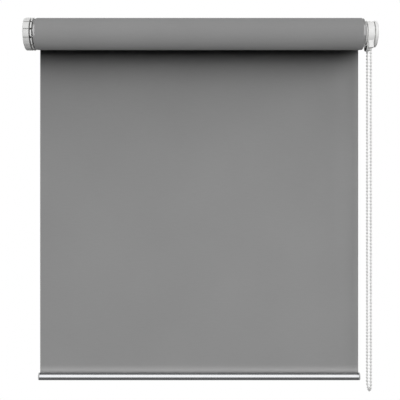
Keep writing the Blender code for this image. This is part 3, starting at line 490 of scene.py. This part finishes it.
def select_only(piece):
    clear_selection()
    piece.select_set(True)
    bpy.context.view_layer.objects.active = piece


def edit(selection="SELECT"):
    """Opens the active piece in edit mode with all of it selected, or nothing."""
    bpy.ops.object.mode_set(mode="EDIT")
    bpy.ops.mesh.select_all(action=selection)


def end_edit():
    """Turns all faces outwards and closes the open piece."""
    bpy.ops.mesh.select_all(action="SELECT")
    bpy.ops.mesh.normals_make_consistent(inside=False)
    bpy.ops.object.mode_set(mode="OBJECT")


def from_corners(name, places, faces):
    """A piece made of corners and faces, with its faces turned outwards."""
    mesh = bpy.data.meshes.new(name)
    mesh.from_pydata(places, [], faces)
    piece = bpy.data.objects.new(name, mesh)
    bpy.context.scene.collection.objects.link(piece)
    select_only(piece)
    edit()
    end_edit()
    return piece


def turned(name, profile, steps, centre=ROLLER_AXIS):
    """A solid turned about an axis along X, grown ring by ring through (x, radius) points.

    A profile that ends where it starts is a ring's; otherwise both ends are closed with a disc.
    """
    clear_selection()
    (x, radius), *rest = profile
    bpy.ops.mesh.primitive_circle_add(vertices=steps, radius=radius, location=(x, *centre), rotation=ALONG_X)
    piece = start_piece(name)
    closed = profile[0] == profile[-1]
    extrude = bpy.ops.mesh.extrude_edges_move if closed else bpy.ops.mesh.extrude_region_move
    edit()
    if not closed:
        bpy.ops.mesh.edge_face_add()
        bpy.ops.mesh.select_all(action="SELECT")
    for new_x, new_radius in rest:
        extrude(TRANSFORM_OT_translate={"value": (new_x - x, 0, 0)})
        ratio = new_radius / radius
        bpy.ops.transform.resize(value=(1, ratio, ratio), center_override=(new_x, *centre))
        x, radius = new_x, new_radius
    bpy.ops.mesh.select_all(action="SELECT")
    bpy.ops.mesh.remove_doubles(threshold=MERGE_DISTANCE)
    end_edit()
    return piece


def rounded(face, inwards, edge):
    """Profile points of a rounded edge, from the face inwards along X."""
    return [(face + inwards * depth * MM, radius * MM) for depth, radius in edge]


def cylinder(x, radius, centre, sides=24):
    """A plain round tool along X, to cut with or to join to a piece."""
    clear_selection()
    bpy.ops.mesh.primitive_cylinder_add(
        vertices=sides,
        radius=radius,
        depth=x[1] - x[0],
        location=((x[0] + x[1]) / 2, *centre),
        rotation=ALONG_X,
    )
    return start_piece("tool")


def block(x, y, z, turn=0.0):
    """A plain block between two corners, turned about the roller's axis."""
    clear_selection()
    bpy.ops.mesh.primitive_cube_add(
        size=1,
        location=[(low + high) / 2 for low, high in (x, y, z)],
        scale=[high - low for low, high in (x, y, z)],
    )
    piece = start_piece("tool")
    if turn:
        edit()
        # Without a window this operator turns the other way
        bpy.ops.transform.rotate(value=-turn, orient_axis="X", center_override=(0, *ROLLER_AXIS))
        end_edit()
    return piece


def join(pieces, name):
    """Joins pieces into the first one."""
    clear_selection()
    for piece in pieces:
        piece.select_set(True)
    bpy.context.view_layer.objects.active = pieces[0]
    if len(pieces) > 1:
        bpy.ops.object.join()
    pieces[0].name = pieces[0].data.name = name
    return pieces[0]


def modify(piece, kind, **options):
    """Adds a modifier with these options to a piece and applies it."""
    select_only(piece)
    modifier = piece.modifiers.new(kind, kind)
    for option, value in options.items():
        setattr(modifier, option, value)
    bpy.ops.object.modifier_apply(modifier=kind)


def combine(piece, tools, operation="DIFFERENCE"):
    """Cuts tools away from a piece, or unites them with it."""
    tool = join(tools, "tool")
    modify(piece, "BOOLEAN", operation=operation, object=tool, solver="EXACT")
    bpy.data.objects.remove(tool)


def soften(piece, width):
    """Rounds a piece's sharp edges and shades it smooth, with its flat faces kept flat."""
    modify(piece, "BEVEL", width=width, segments=2, limit_method="ANGLE", angle_limit=SHARP_ANGLE)
    bpy.ops.object.shade_smooth_by_angle(angle=SMOOTH_ANGLE)
    modify(piece, "WEIGHTED_NORMAL", keep_sharp=True)


def about_axis(radius, angle):
    """The (y, z) place at a radius and angle about the roller's axis, from the wall over the top."""
    return (AXIS_Y + radius * cos(angle), radius * sin(angle))


def pegs(circle, radius, x):
    """Round tools where the pegs are."""
    return [cylinder(x, radius, about_axis(circle, angle)) for angle in PEG_ANGLES]


def hand_over(piece, body, node, materials=()):
    """Gives a finished piece its materials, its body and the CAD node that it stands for."""
    for material in materials:
        piece.data.materials.append(material)
    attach(piece, body)
    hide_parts(node)


def ribbon(name, sections, across):
    """A closed strip of cloth with corners at these places along X, and its finish 1 on cut edges.

    A section is its middle (y, z), its normal (y, z), half its thickness, its length from the start of
    the cloth and how far each column of it is pushed along the normal.
    """
    count, wide = len(sections), len(across)
    places, marks = [], []
    for side in (1, -1):
        for (y, z), (ny, nz), half, run, push in sections:
            for x in across:
                reach = side * half + push(x)
                places.append((x, y + ny * reach, z + nz * reach))
                marks.append((x, run))
    second = count * wide
    faces = []
    for row in range(count - 1):
        for a in range(row * wide, (row + 1) * wide - 1):
            b = a + wide
            faces.append((a, a + 1, b + 1, b))
            faces.append((second + a, second + b, second + b + 1, second + a + 1))
    cut = len(faces)
    for row in range(count - 1):
        for a in (row * wide, (row + 1) * wide - 1):
            faces.append((a, a + wide, second + a + wide, second + a))
    for row in (0, count - 1):
        for a in range(row * wide, (row + 1) * wide - 1):
            faces.append((a, a + 1, second + a + 1, second + a))
    piece = from_corners(name, places, faces)
    mesh = piece.data
    mesh.polygons.foreach_set("material_index", [int(i >= cut) for i in range(len(faces))])
    layer = mesh.uv_layers.new(name=CLOTH_UV)
    for loop in mesh.loops:
        layer.data[loop.index].uv = marks[loop.vertex_index]
    bpy.ops.object.shade_smooth_by_angle(angle=CLOTH_SMOOTH_ANGLE)
    return piece


def chain_place(distance, pitch):
    """The point of the chain's loop this far from the wheel's top, counted down the wall side."""
    loop = LOOP_BEADS * pitch
    half_round = pi * PITCH_RADIUS
    leg = loop / 2 - half_round
    distance %= loop
    if distance < half_round / 2:
        return Vector((CHAIN_X, *about_axis(PITCH_RADIUS, pi / 2 - distance / PITCH_RADIUS)))
    distance -= half_round / 2
    if distance < leg:
        return Vector((CHAIN_X, AXIS_Y + PITCH_RADIUS, -distance))
    distance -= leg
    if distance < half_round:
        y, z = about_axis(PITCH_RADIUS, -distance / PITCH_RADIUS)
        return Vector((CHAIN_X, y, z - leg))
    distance -= half_round
    if distance < leg:
        return Vector((CHAIN_X, AXIS_Y - PITCH_RADIUS, distance - leg))
    distance -= leg
    return Vector((CHAIN_X, *about_axis(PITCH_RADIUS, pi - distance / PITCH_RADIUS)))


def one_bead(radius, sides):
    """A moulded bead along Z: a ball drawn out into a short neck at each end, where the cord enters."""
    clear_selection()
    bpy.ops.mesh.primitive_uv_sphere_add(segments=sides, ring_count=BEAD_RINGS, radius=radius)
    bead = start_piece("bead")
    for side in (1, -1):
        edit("DESELECT")
        bpy.ops.object.mode_set(mode="OBJECT")
        for vertex in bead.data.vertices:
            vertex.select = side * vertex.co.z > NECK_START * radius
        bpy.ops.object.mode_set(mode="EDIT")
        bpy.ops.transform.resize(value=(NECK_WIDTH, NECK_WIDTH, 1), center_override=(0, 0, 0))
        bpy.ops.transform.translate(value=(0, 0, side * NECK_LENGTH * radius))
        end_edit()
    bead.data.shade_smooth()
    return bead


def cord_tube(name, points, radius):
    """A round cord along points, closed at its ends."""
    places, faces = [], []
    for i, point in enumerate(points):
        run = (points[min(i + 1, len(points) - 1)] - points[max(i - 1, 0)]).normalized()
        out = Vector((1, 0, 0))
        up = run.cross(out).normalized()
        for k in range(CORD_SIDES):
            angle = tau * k / CORD_SIDES
            places.append(point + radius * (out * cos(angle) + up * sin(angle)))
    for i in range(len(points) - 1):
        for k in range(CORD_SIDES):
            a, b = i * CORD_SIDES + k, i * CORD_SIDES + (k + 1) % CORD_SIDES
            faces.append((a, b, b + CORD_SIDES, a + CORD_SIDES))
    faces.append(tuple(reversed(range(CORD_SIDES))))
    faces.append(tuple(range(len(places) - CORD_SIDES, len(places))))
    tube = from_corners(name, places, faces)
    tube.data.shade_smooth()
    return tube


def chain_stretch(name, first, last, settings, materials):
    """These beads of the loop on one length of cord, and the points that the cord follows."""
    pitch = settings.pitch
    reach = pitch / 2 - GAP / 2
    start, end = first * pitch - reach, last * pitch + reach
    steps = round((end - start) / (pitch / CORD_STEPS))
    path = [chain_place(start + (end - start) * i / steps, pitch) for i in range(steps + 1)]
    cord = cord_tube(name, path, settings.cord / 2)
    cord.data.materials.append(materials[0])
    pattern = one_bead(settings.bead / 2, settings.bead_sides)
    pattern.data.materials.append(materials[1])
    beads = [cord]
    for i in range(first, last + 1):
        bead = pattern.copy()
        bead.data = pattern.data.copy()
        bpy.context.scene.collection.objects.link(bead)
        run = chain_place(i * pitch + MM, pitch) - chain_place(i * pitch - MM, pitch)
        bead.location = chain_place(i * pitch, pitch)
        bead.rotation_mode = "QUATERNION"
        bead.rotation_quaternion = run.to_track_quat("Z", "Y")
        beads.append(bead)
    bpy.data.objects.remove(pattern)
    return join(beads, name), path


# Operators


class BLIND_OT_chain(Operator):
    """Makes the endless bead chain: the loop that hangs below the guard, and the beads on the wheel"""

    bl_idname = "blind.chain"
    bl_label = "Bead chain"

    def execute(self, context):
        settings = context.scene.blind_chain
        materials = [
            twisted_cord("twisted_polyester_cord", settings.cord_colour),
            moulded_plastic("moulded_polypropylene_beads", settings.bead_colour, 0.3, grain=0.8 * MM),
        ]
        on_wheel, _ = chain_stretch("beads_on_wheel", -WHEEL_BEADS, WHEEL_BEADS, settings, materials)
        hand_over(on_wheel, "fixed", "chain_on_wheel")
        first, last = WHEEL_BEADS + 1, LOOP_BEADS - WHEEL_BEADS - 1
        loop, path = chain_stretch("bead_chain_loop", first, last, settings, materials)
        hand_over(loop, "fixed", "bead_chain")
        return {"FINISHED"}


class BLIND_OT_cloth(Operator):
    """Makes the cloth: the turns wound on the tube, and the part that hangs from the back of the roll"""

    bl_idname = "blind.cloth"
    bl_label = "Cloth"

    def execute(self, context):
        settings = context.scene.blind_cloth
        weave = woven_cloth("woven_blackout_polyester", settings.face, settings.thread)
        core = cut_foam("cut_foam_core", settings.core)
        hem = woven_cloth("welded_hem_polyester", settings.hem, settings.thread)
        seal = sealed_edge("heat_sealed_edge", settings.face, settings.thread)
        self.wound(settings, [weave, core, seal])
        self.hanging(settings, [weave, core, hem])
        return {"FINISHED"}

    def wound(self, settings, materials):
        """The spiral, from the wall side over the top and inwards to the tube's groove."""
        half = settings.thickness / 2
        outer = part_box("fabric_roll")[1].z - half
        sections, run = [], 0.0
        for i in range(round(ROLL_TURNS * ROLL_STEPS) + 1):
            angle = tau * i / ROLL_STEPS
            radius = outer - ROLL_PITCH * angle / tau
            normal = (cos(angle), sin(angle))
            sections.append((about_axis(radius, angle), normal, half, run, lambda x: 0.0))
            run += radius * tau / ROLL_STEPS
        end = settings.width / 2 + settings.wander
        seal = end - settings.seal
        piece = ribbon("wound_cloth", sections, [-end, -seal, -end / 2, 0, end / 2, seal, end])
        for face in piece.data.polygons:
            if abs(face.center.x) > seal and face.material_index == 0:
                face.material_index = 2
        hand_over(piece, "roller", "fabric_roll", materials)

    def hanging(self, settings, materials):
        """The hanging part, almost flat, with a doubled and welded hem that enters the bar's slot."""
        half = settings.thickness / 2
        plane = (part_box("fabric_drop")[0].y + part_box("fabric_drop")[1].y) / 2
        sections = []
        for i in range(CLOTH_CELLS + 1):
            z = CLOTH_TOP + (HEM_TOP + HEM_STEP - CLOTH_TOP) * i / CLOTH_CELLS
            sections.append(((plane, z), (-1, 0), half, -z, self.ripple(settings.ripple, z)))
        for z in (HEM_TOP, HEM_MIDDLE, HEM_END):
            sections.append(((plane, z), (-1, 0), HEM_THICKNESS / 2, -z, lambda x: 0.0))
        across = [settings.width * (i / CLOTH_CELLS - 0.5) for i in range(CLOTH_CELLS + 1)]
        piece = ribbon("hanging_cloth", sections, across)
        for face in piece.data.polygons:
            if face.center.z < HEM_TOP + HEM_STEP and abs(face.normal.y) > FACING:
                face.material_index = 2
        hand_over(piece, "fixed", "fabric_drop", materials)
        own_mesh(piece)

    def ripple(self, most, z):
        """How far the cloth waves out at each x at one height: nothing at the roll and at the bar."""
        share = (z - CLOTH_TOP) / (HEM_TOP - CLOTH_TOP)
        strength = most * sin(pi * min(1.0, max(0.0, share)))
        waves = [(part, turn, start + drift * share) for part, turn, start, drift in RIPPLES]
        return lambda x: strength * sum(part * sin(turn * x + start) for part, turn, start in waves)


class BLIND_OT_bar_caps(Operator):
    """Makes the two end caps of the bottom bar"""

    bl_idname = "blind.bar_caps"
    bl_label = "Bar end caps"

    def execute(self, context):
        plastic = moulded_plastic("moulded_cap_plastic", context.scene.blind_ends.cap, 0.3, grain=0.6 * MM)
        for name, side in (("left_bar_cap", -1), ("right_bar_cap", 1)):
            low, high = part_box(name)
            radius = (high.z - low.z) / 2
            face = side * max(abs(low.x), abs(high.x))
            seat = side * CAP_SEAT
            profile = [(seat, radius - CAP_CHAMFER), (seat + side * CAP_CHAMFER, radius)]
            profile += [(face - side * depth * MM, radius - less * MM) for depth, less in CAP_EDGE]
            cap = turned(f"{name}_moulded", [*profile, (face, CAP_DISC)], ROUND_SIDES, BAR_CENTRE)
            lug = cylinder(sorted((side * CAP_LUG_END, seat + side * MM)), BAR_HOLLOW, BAR_CENTRE, LUG_SIDES)
            select_only(lug)
            edit()
            web = (0, BAR_CENTRE[0], BAR_CENTRE[1] + BAR_WEB)
            bpy.ops.mesh.bisect(plane_co=web, plane_no=(0, 0, 1), use_fill=True, clear_outer=True)
            end_edit()
            combine(cap, [lug], "UNION")
            soften(cap, CAP_SOFT_EDGE)
            hand_over(cap, "lift", name, [plastic])
        return {"FINISHED"}


class BLIND_OT_left_end(Operator):
    """Makes the notched drum over the left bracket and the notched lid that faces the roll"""

    bl_idname = "blind.left_end"
    bl_label = "Left cover and lid"

    def execute(self, context):
        settings = context.scene.blind_ends
        plastic = moulded_plastic("moulded_white_abs", settings.drum, 0.42, grain=0.5 * MM)
        # Darker plastic that paints the shade in the drum's notches
        notch_shade = moulded_plastic("spark_eroded_white_abs", settings.notch, 0.75, grain=0.4 * MM)
        # Grey that paints the shade in the groove behind the lid and in its slots
        grey = moulded_plastic("moulded_grey_abs", settings.skirt, 0.6, grain=0.5 * MM)
        self.cover(settings, plastic, notch_shade)
        self.lid(settings, plastic, grey)
        return {"FINISHED"}

    def notches(self, depth, x, width=NOTCH_WIDTH):
        """Tools for the notches round the rim, this deep and wide, between two places along X."""
        y = (AXIS_Y + COVER_RADIUS - depth, AXIS_Y + COVER_RADIUS + MM)
        turns = [FIRST_NOTCH + tau * i / NOTCHES for i in range(NOTCHES)]
        return [block(x, y, (-width / 2, width / 2), turn) for turn in turns]

    def paint_wall_shade(self, piece, x, radii):
        """Gives a piece's second, darker material to its walls between two places along X and two radii, as
        painted shade.
        """
        for face in piece.data.polygons:
            radius = hypot(face.center.y - AXIS_Y, face.center.z)
            inside = x[0] < face.center.x < x[1] and radii[0] < radius < radii[1]
            if inside and abs(face.normal.x) < FACING:
                face.material_index = 1

    def cover(self, settings, plastic, notch_shade):
        rim, plate = COVER_RIM, LEFT_PLATE[0]
        profile = [(COVER_FACE, COVER_DISC), *rounded(COVER_FACE, 1, COVER_EDGE), (rim, COVER_RADIUS)]
        profile += [(rim, COVER_BORE), (COVER_FLOOR, COVER_BORE), (COVER_FLOOR, COVER_DISC)]
        cover = turned("left_cover_moulded", profile, settings.steps)
        combine(cover, self.notches(NOTCH_DEPTH, (rim - NOTCH_LENGTH, rim + MM)))
        combine(cover, pegs(LEFT_PEG_CIRCLE, 2 * PEG_RADIUS, (COVER_FLOOR - MM, plate - GAP)), "UNION")
        combine(cover, pegs(LEFT_PEG_CIRCLE, PEG_RADIUS + GAP, (COVER_FLOOR, plate + MM)))
        combine(cover, [block((plate - GAP, rim + MM), LEFT_OPENING, OPENING_Z)])
        soften(cover, settings.soft_edge)
        hand_over(cover, "fixed", "left_cover", [plastic, notch_shade])
        self.paint_wall_shade(cover, (rim - NOTCH_LENGTH, rim), NOTCH_WALLS)

    def lid(self, settings, plastic, grey):
        back, face = LID_BACK, LID_FACE
        bore, skirt = LID_SKIRT
        end = LEFT_PLATE[1] + GAP
        profile = [(face, LID_BORE), (face, COVER_RADIUS), (back, COVER_RADIUS), (back, skirt), (end, skirt)]
        profile += [(end, bore), (LID_FLOOR, bore), (LID_FLOOR, LID_BORE), (face, LID_BORE)]
        lid = turned("left_lid_moulded", profile, settings.steps)
        combine(lid, self.notches(SLOT_DEPTH, (SLOT_START, face + MM), LID_NOTCH_WIDTH))
        combine(lid, self.notches(SLOT_DEPTH, (SLOT_START, SLOT_END), SLOT_WIDTH))
        combine(lid, pegs(LEFT_PEG_CIRCLE, PEG_RADIUS, (COVER_FLOOR + GAP, back + MM)), "UNION")
        soften(lid, settings.soft_edge)
        hand_over(lid, "fixed", "left_lid", [plastic, grey])
        # Grey painted shade on the skirt's walls in the groove and on the slots' walls
        self.paint_wall_shade(lid, (end, back), SKIRT_WALLS)
        self.paint_wall_shade(lid, (back, face), SLOT_WALLS)


class BLIND_OT_right_end(Operator):
    """Makes the chain guard with its collar and tongue, and the cover over the right bracket"""

    bl_idname = "blind.right_end"
    bl_label = "Chain guard and right cover"

    def execute(self, context):
        settings = context.scene.blind_ends
        plastic = moulded_plastic("moulded_white_nylon", settings.drive, 0.36, grain=0.5 * MM)
        # Near-black material that paints the shade in the tongue's recess
        pad = moulded_plastic("black_rubber_pad", settings.pad, 0.7, grain=0.4 * MM)
        self.guard(settings, plastic, pad)
        self.cover(settings, plastic)
        return {"FINISHED"}

    def guard(self, settings, plastic, pad):
        inner, outer = CHEEK
        profile = [(COLLAR_END, HUB_BORE), (COLLAR_END, COLLAR_RADIUS), (inner, COLLAR_RADIUS)]
        profile += [(inner, GUARD_RADIUS), (GUARD_RIM, GUARD_RADIUS), (GUARD_RIM, GUARD_BORE)]
        profile += [(outer, GUARD_BORE), (outer, HUB_BORE), (COLLAR_END, HUB_BORE)]
        guard = turned("chain_guard_moulded", profile, settings.steps)
        tongue = cylinder(TONGUE_X, TONGUE_RADIUS, TONGUE_PLACE, ROUND_SIDES)
        bore = cylinder((inner - MM, TONGUE_X[1] + MM), TONGUE_BORE, ROLLER_AXIS, ROUND_SIDES)
        combine(tongue, [bore])
        combine(guard, [tongue], "UNION")
        x = (CHAIN_X - CHUTE_REACH, CHAIN_X + CHUTE_REACH)
        legs = (AXIS_Y - PITCH_RADIUS, AXIS_Y + PITCH_RADIUS)
        combine(guard, [block(x, (y - CHUTE_REACH, y + CHUTE_REACH), CHUTE_Z) for y in legs], "UNION")
        combine(guard, [self.outlet(y) for y in legs])
        recess = cylinder((inner - MM, inner + RECESS_DEPTH), RECESS_RADIUS, TONGUE_PLACE, ROUND_SIDES)
        wide = (AXIS_Y - TONGUE_RADIUS, AXIS_Y + TONGUE_RADIUS)
        combine(recess, [block((inner - 2 * MM, outer), wide, (RECESS_TOP, 0))])
        combine(guard, [recess])
        soften(guard, settings.soft_edge)
        hand_over(guard, "fixed", "chain_guard", [plastic, pad])
        # The faces in the tongue's recess get the near-black painted shade
        for face in guard.data.polygons:
            x, *place = face.center
            near = dist(place, TONGUE_PLACE) < RECESS_RADIUS + RECESS_SHADE_MARGIN
            if near and place[1] < RECESS_TOP + RECESS_SHADE_MARGIN and RECESS_SHADE_X[0] < x < RECESS_SHADE_X[1]:
                face.material_index = 1

    def outlet(self, y):
        """An upright round tool about one leg of the chain, longer than the chute at both ends."""
        low, high = OUTLET_Z
        middle = (CHAIN_X, y, (low + high) / 2)
        clear_selection()
        bpy.ops.mesh.primitive_cylinder_add(
            vertices=OUTLET_SIDES, radius=OUTLET_RADIUS, depth=high - low, location=middle
        )
        return start_piece("tool")

    def cover(self, settings, plastic):
        rim, floor = RIGHT_RIM, RIGHT_FLOOR
        profile = [(RIGHT_FACE, RIGHT_DISC), *rounded(RIGHT_FACE, -1, RIGHT_EDGE), (rim, GUARD_RADIUS)]
        profile += [(rim, GUARD_BORE), (floor, GUARD_BORE), (floor, RIGHT_DISC)]
        cover = turned("right_cover_moulded", profile, settings.steps)
        combine(cover, pegs(RIGHT_PEG_CIRCLE, PEG_RADIUS, (rim, floor + MM)), "UNION")
        combine(cover, [block((rim - MM, RIGHT_PLATE_END), RIGHT_OPENING, OPENING_Z)])
        soften(cover, settings.soft_edge)
        hand_over(cover, "fixed", "right_cover", [plastic])


class BLIND_OT_pin_spring(Operator):
    """Makes the spring behind the idle pin, coiled at one length, though the real one shortens as the pin is
    pushed in
    """

    bl_idname = "blind.pin_spring"
    bl_label = "Idle pin's spring"

    def execute(self, context):
        settings = context.scene.blind_metal
        steel = drawn_metal("hard_drawn_spring_wire", settings.spring, 0.28, line=0.4 * MM, stretch=4)
        start, end = COIL_X
        wire = settings.spring_wire / 2
        clear_selection()
        bpy.ops.mesh.primitive_circle_add(vertices=WIRE_SIDES, radius=wire, location=(start, COIL_RADIUS, 0))
        spring = start_piece("idle_pin_spring_coiled")
        rise = (end - start) / COIL_TURNS
        steps = {"steps": COIL_STEPS, "render_steps": COIL_STEPS}
        modify(spring, "SCREW", axis="X", iterations=COIL_TURNS, screw_offset=rise, **steps)
        edit()
        bpy.ops.mesh.remove_doubles(threshold=MERGE_DISTANCE)
        bpy.ops.mesh.fill_holes(sides=0)
        bpy.ops.mesh.select_all(action="SELECT")
        bpy.ops.transform.translate(value=(0, AXIS_Y, 0))
        end_edit()
        bpy.ops.object.shade_smooth_by_angle(angle=SMOOTH_ANGLE)
        hand_over(spring, "roller", "idle_pin_spring", [steel])
        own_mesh(spring)
        return {"FINISHED"}


class BLIND_OT_finishes(Operator):
    """Gives the carried-over parts their finishes: brackets, tube, plugs, clutch, springs, bar and rod"""

    bl_idname = "blind.finishes"
    bl_label = "Finishes of the carried-over parts"

    def execute(self, context):
        metal, ends = context.scene.blind_metal, context.scene.blind_ends
        bright = drawn_metal("bright_anodised_aluminium", metal.bar, 0.16, line=0.5 * MM, stretch=200)
        mill = drawn_metal("mill_finish_aluminium", metal.tube, 0.38, line=0.6 * MM, stretch=120)
        zinc = drawn_metal("zinc_plated_steel", metal.zinc, 0.3, line=1.2 * MM, stretch=1.5)
        wire = drawn_metal("drawn_spring_steel", metal.spring, 0.28, line=0.4 * MM, stretch=4)
        coated = powder_coat("powder_coated_steel", metal.bracket)
        # Grey nylon, made darker as painted shade for the drive hub seen in the gap between roll and collar
        nylon = moulded_plastic("moulded_grey_nylon", ends.inner, 0.45, grain=0.5 * MM)
        acetal = moulded_plastic("moulded_white_acetal", ends.drive, 0.3, grain=0.5 * MM)
        pvc = moulded_plastic("extruded_pvc", ends.strip, 0.5, grain=0.7 * MM)
        finishes = {
            bright: ["bottom_bar"],
            mill: ["roller_tube"],
            zinc: ["spindle_washer", "spindle_screw"],
            wire: ["wrap_spring_1", "wrap_spring_2"],
            coated: ["left_bracket", "right_bracket"],
            nylon: ["idle_plug", "idle_pin", "drive_hub", "pin_bush"],
            acetal: ["clutch_base", "chain_wheel"],
            pvc: ["cloth_strip", "hem_rod"],
        }
        for material, names in finishes.items():
            for name in names:
                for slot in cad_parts[name].material_slots:
                    slot.material = material
        return {"FINISHED"}


class BLIND_OT_stage(Operator):
    """Makes the camera, the pale floor, the white surroundings and the soft studio lights"""

    bl_idname = "blind.stage"
    bl_label = "Stage"

    def execute(self, context):
        settings = context.scene.blind_stage
        self.camera(context, settings)
        self.floor(settings)
        self.surroundings(context, settings)
        for name, place in LIGHTS.items():
            self.soft_light(name, getattr(settings, name), *place)
        context.scene.view_settings.view_transform = "Standard"
        return {"FINISHED"}

    def camera(self, context, settings):
        bpy.ops.object.camera_add(location=settings.camera_place, rotation=(pi / 2, 0, 0))
        camera = context.object
        camera.data.lens = settings.focal_length
        context.scene.camera = camera

    def floor(self, settings):
        """Matt floor paint: pale, with a faint mottle about 30 mm across and a little light of its own."""
        clear_selection()
        bpy.ops.mesh.primitive_plane_add(size=FLOOR_SIZE, location=(0, FLOOR_Y, settings.floor_height))
        floor = start_piece("floor")
        glow = {"Emission Color": (1, 1, 1, 1), "Emission Strength": settings.floor_glow}
        material, place = new_material("matt_floor_paint", settings.floor, 0.9, glow)
        mottle = add_node(material, "TexNoise", {"Scale": 30.0}, {"Vector": place})
        floor.data.materials.append(vary(material, settings.floor, mottle.outputs["Fac"], (0.98, 1.0)))
        floor.visible_diffuse = False
        floor.visible_glossy = False

    def surroundings(self, context, settings):
        """White behind the blind, a soft box all along the room in reflections, and even light from above."""
        world = bpy.data.worlds.new("white_studio")
        world.use_nodes = True
        context.scene.world = world
        world.node_tree.nodes.clear()
        towards = add_node(world, "TexCoord", {}).outputs["Generated"]
        parts = add_node(world, "SeparateXYZ", {}, {"Vector": towards}).outputs
        room = add_node(world, "Math", {"operation": "MULTIPLY", 1: -1.0}, {0: parts["Y"]}).outputs[0]
        angle = add_node(world, "Math", {"operation": "ARCTAN2"}, {0: parts["Z"], 1: room}).outputs[0]
        lit = self.glow(world, parts["Z"], 1.0, SKY, settings.sky)
        mirrored = self.glow(world, angle, pi, SOFT_BOX, settings.soft_box)
        white = {"Strength": 1.0, "Color": (1, 1, 1, 1)}
        seen = add_node(world, "Background", white).outputs[0]
        ray = add_node(world, "LightPath", {}).outputs
        glossy = {0: ray["Is Glossy Ray"], 1: lit, 2: mirrored}
        unseen = add_node(world, "MixShader", {}, glossy).outputs[0]
        direct = {0: ray["Is Camera Ray"], 1: unseen, 2: seen}
        shown = add_node(world, "MixShader", {}, direct).outputs[0]
        add_node(world, "OutputWorld", {}, {"Surface": shown})

    def glow(self, world, value, limit, greys, strength):
        """Light whose grey follows a value that runs from minus its limit to its limit."""
        share = add_node(world, "MapRange", {"From Min": -limit, "From Max": limit}, {"Value": value})
        ramp = add_node(world, "ValToRGB", {}, {"Fac": share.outputs["Result"]})
        set_stops(ramp.color_ramp, [(position, (grey, grey, grey, 1)) for position, grey in greys])
        light = {"Color": ramp.outputs["Color"]}
        return add_node(world, "Background", {"Strength": strength}, light).outputs[0]

    def soft_light(self, name, watts, azimuth, elevation, state, pieces):
        """A square soft light turned to the blind, that lights these pieces alone or all but them."""
        across, up = radians(azimuth), radians(elevation)
        towards = Vector((sin(across) * cos(up), -cos(across) * cos(up), sin(up)))
        bpy.ops.object.light_add(type="AREA", location=Vector(LIT_PLACE) + LIGHT_DISTANCE * towards)
        light = bpy.context.object
        light.name = f"{name}_light"
        light.data.energy = watts
        light.data.size = LIGHT_SIZE
        light.visible_camera = False
        light.visible_glossy = False
        light.rotation_euler = towards.to_track_quat("Z", "Y").to_euler()
        if pieces:
            chosen = bpy.data.collections.new(f"{name}_light_pieces")
            for piece in pieces:
                chosen.objects.link(bpy.data.objects[piece])
            for link in chosen.collection_objects:
                link.light_linking.link_state = state
            light.light_linking.receiver_collection = chosen


PIECES = (
    BLIND_OT_chain,
    BLIND_OT_cloth,
    BLIND_OT_bar_caps,
    BLIND_OT_left_end,
    BLIND_OT_right_end,
    BLIND_OT_pin_spring,
    BLIND_OT_finishes,
    BLIND_OT_stage,
)


class BLIND_PT_pieces(Panel):
    """Lists the settings and the operators in the 3D view's sidebar"""

    bl_idname = "BLIND_PT_pieces"
    bl_label = "Roller blind"
    bl_space_type = "VIEW_3D"
    bl_region_type = "UI"
    bl_category = "Roller blind"

    def draw(self, context):
        for name, group in SETTINGS.items():
            settings = getattr(context.scene, name)
            box = self.layout.box()
            for field in group.__annotations__:
                box.prop(settings, field)
        for piece in PIECES:
            self.layout.operator(piece.bl_idname)


def register():
    for name, group in SETTINGS.items():
        bpy.utils.register_class(group)
        setattr(bpy.types.Scene, name, PointerProperty(type=group))
    for piece in (*PIECES, BLIND_PT_pieces):
        bpy.utils.register_class(piece)


def unregister():
    for piece in reversed((*PIECES, BLIND_PT_pieces)):
        bpy.utils.unregister_class(piece)
    for name, group in reversed(SETTINGS.items()):
        delattr(bpy.types.Scene, name)
        bpy.utils.unregister_class(group)


def main():
    register()
    bpy.ops.blind.chain()
    bpy.ops.blind.cloth()
    bpy.ops.blind.bar_caps()
    bpy.ops.blind.left_end()
    bpy.ops.blind.right_end()
    bpy.ops.blind.pin_spring()
    bpy.ops.blind.finishes()
    bpy.ops.blind.stage()


if __name__ == "__main__":
    main()
